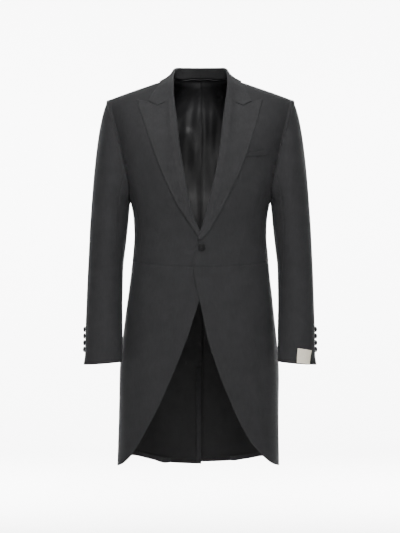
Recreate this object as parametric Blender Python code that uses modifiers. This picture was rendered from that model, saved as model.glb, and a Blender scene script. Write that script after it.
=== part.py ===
"""Charcoal morning coat with peak lapels, standing in its hollow worn form.

Metres. +Z is up, the front faces -Y, and +X is the wearer's left. The origin is the middle of the
neck at the height where the shoulders meet it. Every panel is a wall of cloth cut from one body
surface, or from one sleeve surface, so that neighbours share their seams.
"""
import math
from collections import namedtuple

import bpy
import numpy as np
from mathutils import Matrix

# Cloth and clearances
BODY_WALL = 0.0020
SLEEVE_WALL = 0.0018
LAPEL_WALL = 0.0018
LINING_WALL = 0.0010
SEAM_GAP = 0.0003
LAPEL_CLEARANCE = 0.0011
LINING_CLEARANCE = 0.0034
LINING_EASE_AT_TOP = 0.0030
LAP_CLEARANCE = 0.0007
TRIM_CLEARANCE = 0.0008
UNDERARM_GAP = 0.0009

# Body surface: level rings, rounded over at the shoulders
SQUARENESS = 2.4
BLEND_REACH = 0.45
MIDDLE_Y = 0.010
GIRTH_PER_DEGREE = 0.0029
GIRTH = 360 * GIRTH_PER_DEGREE
Ring = namedtuple("Ring", "z half_width front_depth back_depth")
RINGS = (
    Ring(-0.970, 0.2030, 0.130, 0.138),
    Ring(-0.900, 0.2014, 0.130, 0.136),
    Ring(-0.805, 0.1994, 0.129, 0.133),
    Ring(-0.700, 0.1972, 0.128, 0.129),
    Ring(-0.628, 0.1906, 0.126, 0.124),
    Ring(-0.568, 0.1840, 0.123, 0.117),
    Ring(-0.514, 0.1775, 0.120, 0.107),
    Ring(-0.453, 0.1709, 0.118, 0.095),
    Ring(-0.403, 0.1664, 0.119, 0.091),
    Ring(-0.375, 0.1657, 0.122, 0.093),
    Ring(-0.336, 0.1678, 0.127, 0.099),
    Ring(-0.297, 0.1758, 0.132, 0.106),
    Ring(-0.272, 0.1830, 0.134, 0.111),
    Ring(-0.236, 0.1944, 0.136, 0.116),
    Ring(-0.194, 0.2048, 0.136, 0.120),
    Ring(-0.148, 0.2143, 0.134, 0.122),
    Ring(-0.094, 0.2294, 0.132, 0.122),
    Ring(-0.057, 0.2395, 0.131, 0.121),
    Ring(-0.030, 0.2480, 0.130, 0.120),
    Ring(0.070, 0.2750, 0.130, 0.118),
)
Shoulder = namedtuple("Shoulder", "x z")
SHOULDER = (
    Shoulder(0.000, 0.060),
    Shoulder(0.030, 0.052),
    Shoulder(0.060, 0.028),
    Shoulder(0.085, 0.008),
    Shoulder(0.117, -0.0038),
    Shoulder(0.174, -0.0240),
    Shoulder(0.2045, -0.035),
    Shoulder(0.2296, -0.0425),
    Shoulder(0.300, -0.062),
)
NECK_ROUNDING_FRONT, NECK_ROUNDING_BACK = 0.200, 0.120
NECK_EASE_FRONT, NECK_EASE_BACK = 1.48, 1.25
SHOULDER_ROUNDING = 0.130
PADDED_FROM, PADDED_TO = 0.080, 0.200
SWAY_TOP, SWAY_BOTTOM, SWAY = -0.450, -0.957, -0.0055
SLEEVE_SWAY_SHARE = 0.35

# Seams and edges, as they show from the front or back. Each x is on its own side of the middle.
NECK_POINT_X, SHOULDER_POINT_X = 0.085, 0.2296
NECK_BACK = ((0.000, 0.0165), (0.030, 0.0155), (0.060, 0.0125))
NECK_BACK_Z = NECK_BACK[0][1]
NECK_BACK_SHARE = 0.60
EdgePoint = namedtuple("EdgePoint", "z left right")
FRONT_EDGE = (
    EdgePoint(-0.461, -0.0186, 0.0200),
    EdgePoint(-0.446, -0.0190, 0.0200),
    EdgePoint(-0.436, -0.0175, 0.0198),
    EdgePoint(-0.424, -0.0135, 0.0180),
    EdgePoint(-0.404, -0.0075, 0.0110),
    EdgePoint(-0.388, -0.0025, 0.0025),
    EdgePoint(-0.371, 0.0032, -0.0065),
    EdgePoint(-0.348, 0.0112, -0.0165),
    EdgePoint(-0.298, 0.0246, -0.0302),
    EdgePoint(-0.223, 0.0415, -0.0443),
    EdgePoint(-0.162, 0.0514, -0.0541),
    EdgePoint(-0.111, 0.0571, -0.0598),
    EdgePoint(-0.063, 0.0633, -0.0660),
    EdgePoint(-0.040, 0.0665, -0.0685),
)
NECK_SEAM_BEND_X, NECK_SEAM_BEND_Z = 0.0735, -0.018
CUTAWAY = (
    EdgePoint(-0.461, -0.0186, 0.0200),
    EdgePoint(-0.489, -0.0156, 0.0180),
    EdgePoint(-0.514, -0.0105, 0.0120),
    EdgePoint(-0.543, -0.0034, -0.0020),
    EdgePoint(-0.581, 0.0055, -0.0145),
    EdgePoint(-0.640, 0.0182, -0.0334),
    EdgePoint(-0.694, 0.0355, -0.0543),
    EdgePoint(-0.744, 0.0533, -0.0755),
    EdgePoint(-0.794, 0.0741, -0.0970),
    EdgePoint(-0.843, 0.0965, -0.1222),
    EdgePoint(-0.885, 0.1200, -0.1455),
    EdgePoint(-0.926, 0.1535, -0.1708),
)
TAIL_CORNER = (EdgePoint(-0.944, 0.1737, -0.1880), EdgePoint(-0.9535, 0.1905, -0.2012))
HemPoint = namedtuple("HemPoint", "angle left right")
HEM = (
    HemPoint(90, -0.9575, -0.9575),
    HemPoint(107, -0.9500, -0.9495),
    HemPoint(125, -0.9445, -0.9430),
    HemPoint(146, -0.9562, -0.9574),
    HemPoint(160, -0.9622, -0.9663),
    HemPoint(180, -0.9652, -0.9700),
)
WaistPoint = namedtuple("WaistPoint", "angle z")
WAIST = (
    WaistPoint(-10, -0.4612),
    WaistPoint(20, -0.4605),
    WaistPoint(40, -0.4563),
    WaistPoint(56, -0.4526),
    WaistPoint(90, -0.4500),
    WaistPoint(150, -0.4490),
)
ViewPoint = namedtuple("ViewPoint", "x z")
SIDE_SEAM = (
    ViewPoint(0.1442, -0.453),
    ViewPoint(0.1450, -0.420),
    ViewPoint(0.1490, -0.370),
    ViewPoint(0.1590, -0.320),
)
BACK_SEAM_SKIRT = (
    ViewPoint(0.0780, -0.958),
    ViewPoint(0.0740, -0.800),
    ViewPoint(0.0690, -0.620),
    ViewPoint(0.0655, -0.500),
    ViewPoint(0.0655, -0.449),
)
BACK_SEAM_BODY = (
    ViewPoint(0.0655, -0.449),
    ViewPoint(0.0730, -0.395),
    ViewPoint(0.0930, -0.335),
    ViewPoint(0.1260, -0.270),
    ViewPoint(0.1600, -0.218),
)
VENT_TOP_Z, VENT_RUN, VENT_LAP, VENT_UNDERLAP = -0.715, 0.012, 0.020, 0.0025

# Armhole: each branch runs from the shoulder point to the underarm
ARMHOLE_FRONT = (
    ViewPoint(0.2225, -0.057),
    ViewPoint(0.2138, -0.094),
    ViewPoint(0.1993, -0.148),
    ViewPoint(0.1903, -0.194),
    ViewPoint(0.1820, -0.236),
    ViewPoint(0.1758, -0.272),
)
ARMHOLE_BACK = (
    ViewPoint(0.2195, -0.060),
    ViewPoint(0.2060, -0.100),
    ViewPoint(0.1945, -0.150),
    ViewPoint(0.1875, -0.200),
    ViewPoint(0.1815, -0.245),
    ViewPoint(0.1772, -0.280),
)
UNDERARM_Z = -0.297
ARMHOLE_STEP = 15
SIDE_SEAM_TURN, BACK_SEAM_TURN = 165, 270

# Sleeves: turn 0 is the outer side, 90 the front, 180 the inner side
SleeveRing = namedtuple("SleeveRing", "z inner outer front back")
SLEEVE = (
    SleeveRing(-0.720, 0.1918, 0.2898, -0.109, -0.017),
    SleeveRing(-0.700, 0.1914, 0.2870, -0.108, -0.016),
    SleeveRing(-0.685, 0.1910, 0.2848, -0.105, -0.014),
    SleeveRing(-0.655, 0.1912, 0.2840, -0.099, -0.006),
    SleeveRing(-0.610, 0.1920, 0.2842, -0.088, 0.014),
    SleeveRing(-0.560, 0.1933, 0.2834, -0.076, 0.034),
    SleeveRing(-0.510, 0.1932, 0.2825, -0.066, 0.050),
    SleeveRing(-0.460, 0.1921, 0.2808, -0.060, 0.062),
    SleeveRing(-0.410, 0.1865, 0.2786, -0.058, 0.071),
    SleeveRing(-0.360, 0.1813, 0.2768, -0.058, 0.078),
    SleeveRing(-0.312, 0.1768, 0.2740, -0.058, 0.082),
)
HEAD_END_Z = -0.312
HeadFlow = namedtuple("HeadFlow", "turn out forward down")
HEAD_FLOW = (
    HeadFlow(0, 0.0244, 0.000, 0.030),
    HeadFlow(45, 0.0240, 0.014, 0.034),
    HeadFlow(90, 0.0180, 0.014, 0.040),
    HeadFlow(135, 0.0100, 0.006, 0.022),
    HeadFlow(180, 0.0010, 0.000, 0.006),
    HeadFlow(225, 0.0100, -0.008, 0.022),
    HeadFlow(270, 0.0200, -0.016, 0.040),
    HeadFlow(315, 0.0240, -0.014, 0.034),
    HeadFlow(360, 0.0244, 0.000, 0.030),
)
HEAD_RISE, HEAD_LEAN = 0.33, -0.0062
CUFF_Z, CUFF_TILT = -0.6993, 0.0035
FRONT_SEAM_TOP, FRONT_SEAM_CUFF = 120, 180
HIND_SEAM_TOP, HIND_SEAM_CUFF = -105, -8
TWIST_FROM_Z, TWIST_TO_Z = -0.340, -0.640

# Lapels
LAPEL_EDGE_LEFT = (
    ViewPoint(0.0010, -0.3965),
    ViewPoint(0.0170, -0.3805),
    ViewPoint(0.0373, -0.348),
    ViewPoint(0.0616, -0.3035),
    ViewPoint(0.0896, -0.2447),
    ViewPoint(0.1151, -0.180),
    ViewPoint(0.1320, -0.1286),
    ViewPoint(0.1397, -0.101),
    ViewPoint(0.1479, -0.0704),
    ViewPoint(0.1547, -0.0484),
)
LAPEL_EDGE_RIGHT = (
    ViewPoint(-0.0052, -0.3900),
    ViewPoint(-0.0217, -0.365),
    ViewPoint(-0.0512, -0.320),
    ViewPoint(-0.0818, -0.2587),
    ViewPoint(-0.1043, -0.2054),
    ViewPoint(-0.1301, -0.1317),
    ViewPoint(-0.1426, -0.0947),
    ViewPoint(-0.1517, -0.0724),
    ViewPoint(-0.1587, -0.0491),
)
LAPEL_FOOT_Z = {1: -0.394, -1: -0.386}
GORGE_TOP_Z = -0.0446
NOTCH_IN = ViewPoint(0.1055, -0.0672)
NOTCH_OUT = ViewPoint(0.1297, -0.0560)
ROLL_RADIUS = 0.0033
FOLD_START, FOLD_START_AT_FOOT = -70, 20
ROLL_SPRING, ROLL_SPRING_REACH = 0.0022, 0.030

# Collar: the crest of the fold, and the outer edge of the fall
Crest = namedtuple("Crest", "x y z")
CREST = (
    Crest(0.0000, 0.0835, 0.0444),
    Crest(0.0250, 0.0820, 0.0444),
    Crest(0.0450, 0.0755, 0.0440),
    Crest(0.0580, 0.0600, 0.0425),
    Crest(0.0645, 0.0360, 0.0370),
    Crest(0.0668, 0.0060, 0.0255),
    Crest(0.0668, -0.0210, 0.0085),
    Crest(0.0662, -0.0480, -0.0110),
)
FallPoint = namedtuple("FallPoint", "x z back")
FALL_EDGE = (
    FallPoint(0.0000, -0.0010, True),
    FallPoint(0.0350, -0.0012, True),
    FallPoint(0.0650, -0.0030, True),
    FallPoint(0.0860, -0.0058, True),
    FallPoint(0.0975, -0.0048, True),
    FallPoint(0.1015, -0.0075, False),
    FallPoint(0.1172, -0.0320, False),
    FallPoint(0.1285, -0.0538, False),
)
FALL_BULGE = 0.0020
STAND_INSET, STAND_LIFT, COLLAR_EASE = 0.0024, 0.0006, 0.0021

# Trim
WELT_TOP_Z, WELT_HEIGHT, WELT_RISE = -0.1744, 0.0126, 0.0062
WELT_OUTER_X, WELT_LAPEL_MARGIN, WELT_WALL = 0.1690, 0.0012, 0.0012
BUTTON_X, BUTTON_Z = 0.0027, -0.4125
FRONT_BUTTON_RADIUS, CUFF_BUTTON_RADIUS = 0.0085, 0.0070
FRONT_BUTTON_HEIGHT, CUFF_BUTTON_HEIGHT, BUTTON_RISE = 0.0044, 0.0054, 0.0006
CUFF_BUTTON_FIRST_Z, CUFF_BUTTON_PITCH, CUFF_BUTTON_TURN = -0.6168, 0.0163, 4
LABEL_INNER = ((93.0, -0.6968), (88.5, -0.6612))
LABEL_OUTER = ((54.0, -0.7003), (41.0, -0.6672))
LABEL_WALL = 0.0010
FACING_INNER_X, FACING_TOP_Z = -0.0102, -0.723
LINING_HEM_RISE, LINING_MARGIN, LINING_ROW_AT_VENT, LINING_ROW_AT_WAIST = 0.012, 0.014, 5, 10
LINING_SEAM_X, LINING_SEAM_GAP = 0.0040, 0.0005
LiningPoint = namedtuple("LiningPoint", "angle z")
LINING_SIDE = (
    LiningPoint(98, -0.936),
    LiningPoint(100, -0.700),
    LiningPoint(104, -0.450),
    LiningPoint(112, -0.340),
    LiningPoint(124, -0.260),
)

# Grid sizes
FOREPART_COLUMNS, SKIRT_COLUMNS, BACK_COLUMNS, LINING_COLUMNS = 13, 15, 9, 9
SIDE_BODY_ROWS, SKIRT_ROWS, LAPEL_ROWS, LINING_ROWS = 8, 11, 17, 20
COLLAR_STATIONS, STAND_COLUMNS, FOLD_COLUMNS, FALL_COLUMNS = 13, 2, 4, 5
HEAD_ROWS, SLEEVE_ROWS = 6, 11

SIDES = {"left": 1, "right": -1}
WOOL_COLOUR = (0.040, 0.041, 0.044, 1)
LINING_COLOUR = (0.006, 0.006, 0.007, 1)
BUTTON_COLOUR = (0.010, 0.010, 0.011, 1)
LABEL_COLOUR = (0.62, 0.58, 0.50, 1)


def through(places, values, at):
    """Reads a smooth curve through (places, values); a slope is the weighted mean of its neighbours."""
    places, values, at = (np.asarray(v, float) for v in (places, values, at))
    step = np.diff(places)
    slope = np.diff(values) / step
    tangent = np.concatenate(([slope[0]], np.zeros(len(places) - 2), [slope[-1]]))
    tangent[1:-1] = (slope[:-1] * step[1:] + slope[1:] * step[:-1]) / (step[1:] + step[:-1])
    i = np.clip(np.searchsorted(places, at, side="right") - 1, 0, len(places) - 2)
    t = np.clip((at - places[i]) / step[i], 0, 1)
    start = values[i] * (1 + 2 * t) * (1 - t) ** 2 + step[i] * tangent[i] * t * (1 - t) ** 2
    end = values[i + 1] * t * t * (3 - 2 * t) - step[i] * tangent[i + 1] * t * t * (1 - t)
    return start + end


def column(rows, key, name, at):
    """Reads one named column of a table at places along another."""
    rows = sorted(rows, key=lambda row: getattr(row, key))
    return through([getattr(row, key) for row in rows], [getattr(row, name) for row in rows], at)


def smooth_step(value, start, end):
    """0 at start, 1 at end, smooth between."""
    t = np.clip((np.asarray(value, float) - start) / (end - start), 0, 1)
    return t * t * (3 - 2 * t)


def run_of(points):
    """Share of its whole length that a polyline has run at each of its points."""
    lengths = np.concatenate(([0], np.cumsum(np.linalg.norm(np.diff(points, axis=0), axis=1))))
    return lengths / lengths[-1]


def smooth_line(points, shares):
    """Points at the given shares of length along the smooth curve through a few points."""
    points = np.asarray(points, float)
    run = run_of(points)
    fine = np.linspace(0, 1, 600)
    curve = np.stack([through(run, points[:, k], fine) for k in range(points.shape[1])], axis=1)
    fine_run = run_of(curve)
    return np.stack([np.interp(shares, fine_run, curve[:, k]) for k in range(points.shape[1])], axis=1)


def unit(vectors):
    """Vectors scaled to length 1."""
    return vectors / np.maximum(np.linalg.norm(vectors, axis=-1, keepdims=True), 1e-12)


def sway(z):
    """How far the hanging skirts lean to the wearer's right at a height."""
    return SWAY * np.clip((SWAY_TOP - z) / (SWAY_TOP - SWAY_BOTTOM), 0, 2)


def rounding(x, back):
    """Height over which the body rounds off under the shoulder ridge, and how gently it starts."""
    padded = smooth_step(np.abs(x), PADDED_FROM, PADDED_TO)
    height = np.where(back, NECK_ROUNDING_BACK, NECK_ROUNDING_FRONT)
    ease = np.where(back, NECK_EASE_BACK, NECK_EASE_FRONT)
    return height + (SHOULDER_ROUNDING - height) * padded, ease + (1 - ease) * padded


def body(girth, drop):
    """Point of the body surface: girth round it from the front, and drop down the cloth from the ridge."""
    girth, drop = np.broadcast_arrays(np.asarray(girth, float), np.asarray(drop, float))
    angle = np.radians(girth / GIRTH_PER_DEGREE)
    sine, cosine = np.sin(angle), np.cos(angle)
    reach = (np.abs(sine) ** SQUARENESS + np.abs(cosine) ** SQUARENESS) ** (-1 / SQUARENESS)
    back = cosine < 0
    z = -drop
    for _ in range(12):
        x = column(RINGS, "z", "half_width", z) * sine * reach
        height, ease = rounding(x, back)
        turn = np.clip(drop / height, 0, math.pi / 2)
        ridge = column(SHOULDER, "x", "z", np.abs(x))
        z = ridge - height * (1 - np.cos(turn)) - np.maximum(drop - height * math.pi / 2, 0)
    depth = np.where(back, column(RINGS, "z", "back_depth", z), column(RINGS, "z", "front_depth", z))
    y = MIDDLE_Y - depth * cosine * reach * np.sin(turn) ** ease
    return np.stack([x + sway(z), y, z], axis=-1)


def place(x, z, back=False):
    """The place (girth, drop) of the point of the front or back that shows at x, z."""
    x, z = np.broadcast_arrays(np.asarray(x, float), np.asarray(z, float))
    x = x - sway(z)
    sine = np.clip(np.abs(x) / column(RINGS, "z", "half_width", z), 0, 1)
    cosine = (1 - sine ** SQUARENESS) ** (1 / SQUARENESS)
    angle = np.degrees(np.arctan2(sine, -cosine if back else cosine)) * np.where(x < 0, -1, 1)
    return np.stack([angle * GIRTH_PER_DEGREE, drop_at(x, z, back)], axis=-1)


def drop_at(x, z, back):
    """Length of cloth from the shoulder ridge down to a height, at a distance from the middle."""
    height, _ = rounding(x, back)
    part = np.maximum(column(SHOULDER, "x", "z", np.abs(x)) - z, 0) / height
    return height * np.where(part < 1, np.arccos(np.clip(1 - part, 0, 1)), math.pi / 2 + part - 1)


def level(angle, z):
    """The place of the point at a height and an angle, below the shoulders."""
    sine, cosine = np.sin(np.radians(angle)), np.cos(np.radians(angle))
    reach = (np.abs(sine) ** SQUARENESS + np.abs(cosine) ** SQUARENESS) ** (-1 / SQUARENESS)
    x = column(RINGS, "z", "half_width", z) * sine * reach
    girth = np.broadcast_to(np.asarray(angle, float), x.shape) * GIRTH_PER_DEGREE
    return np.stack([girth, drop_at(x, z, cosine < 0)], axis=-1)


def body_depth(points):
    """Zero on the body surface and rising outwards: the ring's equation, shrunk under the shoulder ridge."""
    x, y, z = points[..., 0] - sway(points[..., 2]), points[..., 1] - MIDDLE_Y, points[..., 2]
    back = y > 0
    height, ease = rounding(x, back)
    part = np.clip((column(SHOULDER, "x", "z", np.abs(x)) - z) / height, 1e-5, 1)
    shrink = (1 - (1 - part) ** 2) ** (ease * SQUARENESS / 2)
    depth = np.where(back, column(RINGS, "z", "back_depth", z), column(RINGS, "z", "front_depth", z))
    across = (np.abs(x) / column(RINGS, "z", "half_width", z)) ** SQUARENESS - 1
    return across * shrink + (np.abs(y) / depth) ** SQUARENESS


def body_slope(points):
    """Gradient of body_depth, by central differences."""
    small = 0.0004
    shifts = np.eye(3) * small
    parts = [(body_depth(points + s) - body_depth(points - s)) / (2 * small) for s in shifts]
    return np.stack(parts, axis=-1)


def body_normal(points):
    """Outward normal of the body surface."""
    return unit(body_slope(points))


def shoulder_height(x, y):
    """Height of the body surface over the shoulders, above a point seen from the top."""
    back = y > MIDDLE_Y
    height, ease = rounding(x, back)
    ridge = column(SHOULDER, "x", "z", np.abs(x))
    z = ridge
    for _ in range(5):
        across = np.clip(np.abs(x) / column(RINGS, "z", "half_width", z), 0, 1)
        depth = np.where(back, column(RINGS, "z", "back_depth", z), column(RINGS, "z", "front_depth", z))
        depth = depth * (1 - across ** SQUARENESS) ** (1 / SQUARENESS)
        share = np.clip(np.abs(y - MIDDLE_Y) / depth, 0, 0.999) ** (1 / ease)
        z = ridge - height * (1 - np.sqrt(1 - share ** 2))
    return z


def lift_clear(points, clearance):
    """Moves points off the shoulders until they stand at least a clearance above them."""
    small = 0.0008
    for _ in range(4):
        x, y = points[..., 0], points[..., 1]
        slope_x = (shoulder_height(x + small, y) - shoulder_height(x - small, y)) / (2 * small)
        slope_y = (shoulder_height(x, y + small) - shoulder_height(x, y - small)) / (2 * small)
        normal = unit(np.stack([-slope_x, -slope_y, np.ones_like(x)], axis=-1))
        height = (points[..., 2] - shoulder_height(x, y)) * normal[..., 2]
        points = points + normal * np.maximum(clearance - height, 0)[..., None]
    return points


def blend_edges(bottom, top, start, end):
    """Fills four edges with a grid: rows ruled between the sides, bent to bottom and top near them."""
    u_bottom, u_top = run_of(bottom)[None], run_of(top)[None]
    v = ((run_of(start) + run_of(end)) / 2)[:, None]
    u = (u_bottom * (1 - v) + u_top * v)[..., None]
    ruled = start[:, None] * (1 - u) + end[:, None] * u
    off_bottom = bottom - start[0] * (1 - u_bottom[0, :, None]) - end[0] * u_bottom[0, :, None]
    off_top = top - start[-1] * (1 - u_top[0, :, None]) - end[-1] * u_top[0, :, None]
    near_bottom = smooth_step(v, BLEND_REACH, 0)[..., None]
    near_top = smooth_step(1 - v, BLEND_REACH, 0)[..., None]
    return ruled + off_bottom[None] * near_bottom + off_top[None] * near_top


def grid_normals(points, outward):
    """Normals of a grid from its own neighbours, on the side of a given direction."""
    du, dv = np.gradient(points, axis=1), np.gradient(points, axis=0)
    normals = unit(np.cross(du, dv))
    flip = np.sign(np.sum(normals * outward, axis=-1).mean())
    return normals * flip


def draw_in(points, normals, gap, edges="bottom top start end"):
    """Moves the named edges of a grid inwards, along the cloth, by a gap."""
    moved = points.copy()
    rows = {"bottom": (0, slice(None), 1), "top": (-1, slice(None), -2)}
    columns = {"start": (slice(None), 0, 1), "end": (slice(None), -1, -2)}
    for name in edges.split():
        if name in rows:
            row, every, inner = rows[name]
            edge, towards = points[row], points[inner] - points[row]
            normal = normals[row]
            target = (row, every)
        else:
            every, col, inner = columns[name]
            edge, towards = points[:, col], points[:, inner] - points[:, col]
            normal = normals[:, col]
            target = (every, col)
        sideways = unit(np.cross(normal, np.gradient(edge, axis=0)))
        sideways *= np.where(np.sum(sideways * towards, axis=-1, keepdims=True) < 0, -1, 1)
        moved[target] += sideways * gap
    return moved


def new_material(name, colour, roughness, sheen=0.0):
    """A Principled material of one colour."""
    material = bpy.data.materials.new(name)
    material.use_nodes = True
    shader = material.node_tree.nodes["Principled BSDF"]
    shader.inputs["Base Color"].default_value = colour
    shader.inputs["Roughness"].default_value = roughness
    shader.inputs["Metallic"].default_value = 0.0
    shader.inputs["Sheen Weight"].default_value = sheen
    material.diffuse_color = colour
    return material


def new_object(name, mesh, colour, roughness, sheen=0.0):
    """Puts a mesh in the coat's collection with a material of its own."""
    piece = bpy.data.objects.new(name, mesh)
    piece.data.materials.append(new_material(name, colour, roughness, sheen))
    bpy.data.collections["morning_coat"].objects.link(piece)
    return piece


def split(quads, vertices):
    """Cuts quads into triangles along their shorter diagonals."""
    a, b, c, d = (quads[:, k:k + 1] for k in range(4))
    one = np.linalg.norm(vertices[a] - vertices[c], axis=-1)
    other = np.linalg.norm(vertices[b] - vertices[d], axis=-1)
    first = np.where(one <= other, np.concatenate([a, b, c], axis=1), np.concatenate([a, b, d], axis=1))
    second = np.where(one <= other, np.concatenate([a, c, d], axis=1), np.concatenate([b, c, d], axis=1))
    return np.concatenate([first, second])


def wall(name, outer, inner, colour=WOOL_COLOUR, roughness=0.85, sheen=0.2):
    """A closed wall between two grids of the same size: both faces, cut alike, and the rim between."""
    rows, cols = outer.shape[:2]
    count = rows * cols
    vertices = np.concatenate([outer.reshape(-1, 3), inner.reshape(-1, 3)])
    index = np.arange(count).reshape(rows, cols)
    corners = index[:-1, :-1], index[:-1, 1:], index[1:, 1:], index[1:, :-1]
    face = split(np.stack(corners, axis=-1).reshape(-1, 4), vertices)
    middle_u = outer[rows // 2, cols // 2] - outer[rows // 2, cols // 2 - 1]
    middle_v = outer[rows // 2, cols // 2] - outer[rows // 2 - 1, cols // 2]
    rim = np.concatenate([index[:-1, 0], index[-1, :-1], index[:0:-1, -1], index[0, :0:-1]])
    if np.dot(np.cross(middle_u, middle_v), (outer - inner)[rows // 2, cols // 2]) < 0:
        face, rim = face[:, ::-1], rim[::-1]
    after = np.roll(rim, -1)
    strip = split(np.stack([rim, after, after + count, rim + count], axis=-1), vertices)
    faces = np.concatenate([face, face[:, ::-1] + count, strip])
    mesh = bpy.data.meshes.new(name)
    mesh.from_pydata(vertices.tolist(), [], faces.tolist())
    mesh.shade_smooth()
    mesh.set_sharp_from_angle(angle=math.radians(50))
    return new_object(name, mesh, colour, roughness, sheen)


def armhole(side):
    """Places of the armhole seam every few degrees of turn: shoulder point, front, underarm, back."""
    half = np.arange(0, 181, ARMHOLE_STEP) / 180
    ridge = place(SHOULDER_POINT_X, column(SHOULDER, "x", "z", SHOULDER_POINT_X))
    underarm = level(90.0, UNDERARM_Z)
    branches = []
    for rows, back in ((ARMHOLE_FRONT, False), (ARMHOLE_BACK, True)):
        start = np.array([GIRTH / 2 - ridge[0] if back else ridge[0], 0.0])
        points = [start] + [place(p.x, p.z, back) for p in rows] + [underarm]
        solid = body(*np.transpose(smooth_line(points, np.linspace(0, 1, 400))))
        spots = smooth_line(points, np.interp(half, run_of(solid), np.linspace(0, 1, 400)))
        branches.append(spots)
    loop = np.concatenate([branches[0], branches[1][-2::-1]])
    return loop * (side, 1)


def armhole_part(side, first, last):
    """The stretch of the armhole between two turns."""
    a, b = first // ARMHOLE_STEP, last // ARMHOLE_STEP
    loop = armhole(side)
    return loop[a:b + 1] if a < b else loop[b:a + 1][::-1]


def side_seam(side):
    """Seam between forepart and side body, waist to armhole."""
    top = armhole_part(side, SIDE_SEAM_TURN, SIDE_SEAM_TURN + ARMHOLE_STEP)[0]
    points = [place(p.x * side, p.z) for p in SIDE_SEAM] + [top]
    return smooth_line(points, np.linspace(0, 1, SIDE_BODY_ROWS))


def back_seam_body(side):
    """Seam between side body and back, waist to armhole."""
    top = armhole_part(side, BACK_SEAM_TURN, BACK_SEAM_TURN + ARMHOLE_STEP)[0]
    points = [place(p.x * side, p.z, back=True) for p in BACK_SEAM_BODY] + [top]
    return smooth_line(points, np.linspace(0, 1, SIDE_BODY_ROWS))


def back_seam_skirt(side):
    """Seam between skirt and back, hem to waist."""
    foot, *others = BACK_SEAM_SKIRT
    angle = place(foot.x * side, foot.z, back=True)[0] / GIRTH_PER_DEGREE
    points = [level(angle, hem_z(abs(angle), side))] + [place(p.x * side, p.z, back=True) for p in others]
    return smooth_line(points, np.linspace(0, 1, SKIRT_ROWS))


def hem_z(angle, side):
    """Height of the hem behind the side, at an angle."""
    return column(HEM, "angle", "left" if side > 0 else "right", angle)


def waist_line(start, end, count):
    """Waist seam between two places of one side."""
    angles = np.linspace(start[0], end[0], count) / GIRTH_PER_DEGREE
    side = -1 if start[0] + end[0] < 0 else 1
    return level(angles, column(WAIST, "angle", "z", angles * side))


def front_edge(rows, side):
    """An edge of the front as places, in the order of the table."""
    return [place(row.left if side > 0 else row.right, row.z) for row in rows]


def under_front(points, side):
    """How far the wearer's right front is set back where the left front laps over it."""
    if side > 0:
        return np.zeros(points.shape[:-1])
    x, z = points[..., 0], points[..., 2]
    beside = smooth_step(x, -0.080, -0.022)
    lap = BODY_WALL + LAP_CLEARANCE
    lapels = LAPEL_WALL + LAPEL_CLEARANCE
    crossing = smooth_step(z, -0.440, -0.415) * smooth_step(z, -0.250, -0.365)
    below = smooth_step(z, -0.640, -0.560)
    deep = np.maximum(lap * smooth_step(z, -0.330, -0.400) * below, (lap + lapels) * crossing)
    return beside * deep


def under_vent(points, side):
    """How far the wearer's right back is set in where the left back laps over it at the vent."""
    if side > 0:
        return np.zeros(points.shape[:-1])
    x, z = points[..., 0], points[..., 2]
    depth = BODY_WALL + LAP_CLEARANCE
    return depth * smooth_step(x, -0.060, -0.026) * smooth_step(z, VENT_TOP_Z + 0.055, VENT_TOP_Z + 0.010)


def seated(places, side, out=0.0):
    """Body points and normals at places, set back where a lap covers them and then moved out."""
    points = body(places[..., 0], places[..., 1])
    normals = body_normal(points)
    back = points[..., 1] > MIDDLE_Y
    inset = np.where(back, under_vent(points, side), under_front(points, side))
    return points + normals * (out - inset)[..., None], normals


def sleeve_ring(turn, z):
    """Level section of the left sleeve."""
    inner, outer = column(SLEEVE, "z", "inner", z), column(SLEEVE, "z", "outer", z)
    front, back = column(SLEEVE, "z", "front", z), column(SLEEVE, "z", "back", z)
    radians = np.radians(turn)
    x = (inner + outer) / 2 + (outer - inner) / 2 * np.cos(radians)
    y = (front + back) / 2 - (back - front) / 2 * np.sin(radians)
    return np.stack([x, y, np.broadcast_to(z, x.shape)], axis=-1)


def sleeve(turn, travel, side):
    """Point of a sleeve: travel 0 to 1 flows out of the armhole, 1 to 2 runs down to the cuff."""
    turn, travel = np.broadcast_arrays(np.asarray(turn, float), np.asarray(travel, float))
    around = np.mod(turn, 360)
    seam = body(*armhole(1).T)
    turns = np.arange(0, 361, ARMHOLE_STEP)
    seam = seam + body_normal(seam) * (UNDERARM_GAP * smooth_step(np.abs(turns - 180), 90, 45))[:, None]
    p0 = np.stack([through(turns, seam[:, k], around) for k in range(3)], axis=-1)
    flow = [column(HEAD_FLOW, "turn", name, around) for name in ("out", "forward", "down")]
    p1 = p0 + np.stack([flow[0], -flow[1], -flow[2]], axis=-1)
    p3 = sleeve_ring(turn, np.full(turn.shape, HEAD_END_Z))
    rise = HEAD_RISE * (p0[..., 2] - p3[..., 2])
    lean = HEAD_LEAN * (1 + np.cos(np.radians(turn))) / 2
    p2 = p3 + np.stack([lean, np.zeros_like(lean), rise], axis=-1)
    t = np.clip(travel, 0, 1)[..., None]
    head = p0 * (1 - t) ** 3 + 3 * p1 * t * (1 - t) ** 2 + 3 * p2 * t * t * (1 - t) + p3 * t ** 3
    cuff = CUFF_Z - CUFF_TILT * np.cos(np.radians(turn))
    z = HEAD_END_Z + (cuff - HEAD_END_Z) * np.clip(travel - 1, 0, 1.05)
    points = np.where(travel[..., None] <= 1, head, sleeve_ring(turn, z))
    points[..., 0] = points[..., 0] * side + SLEEVE_SWAY_SHARE * sway(points[..., 2])
    return points


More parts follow.
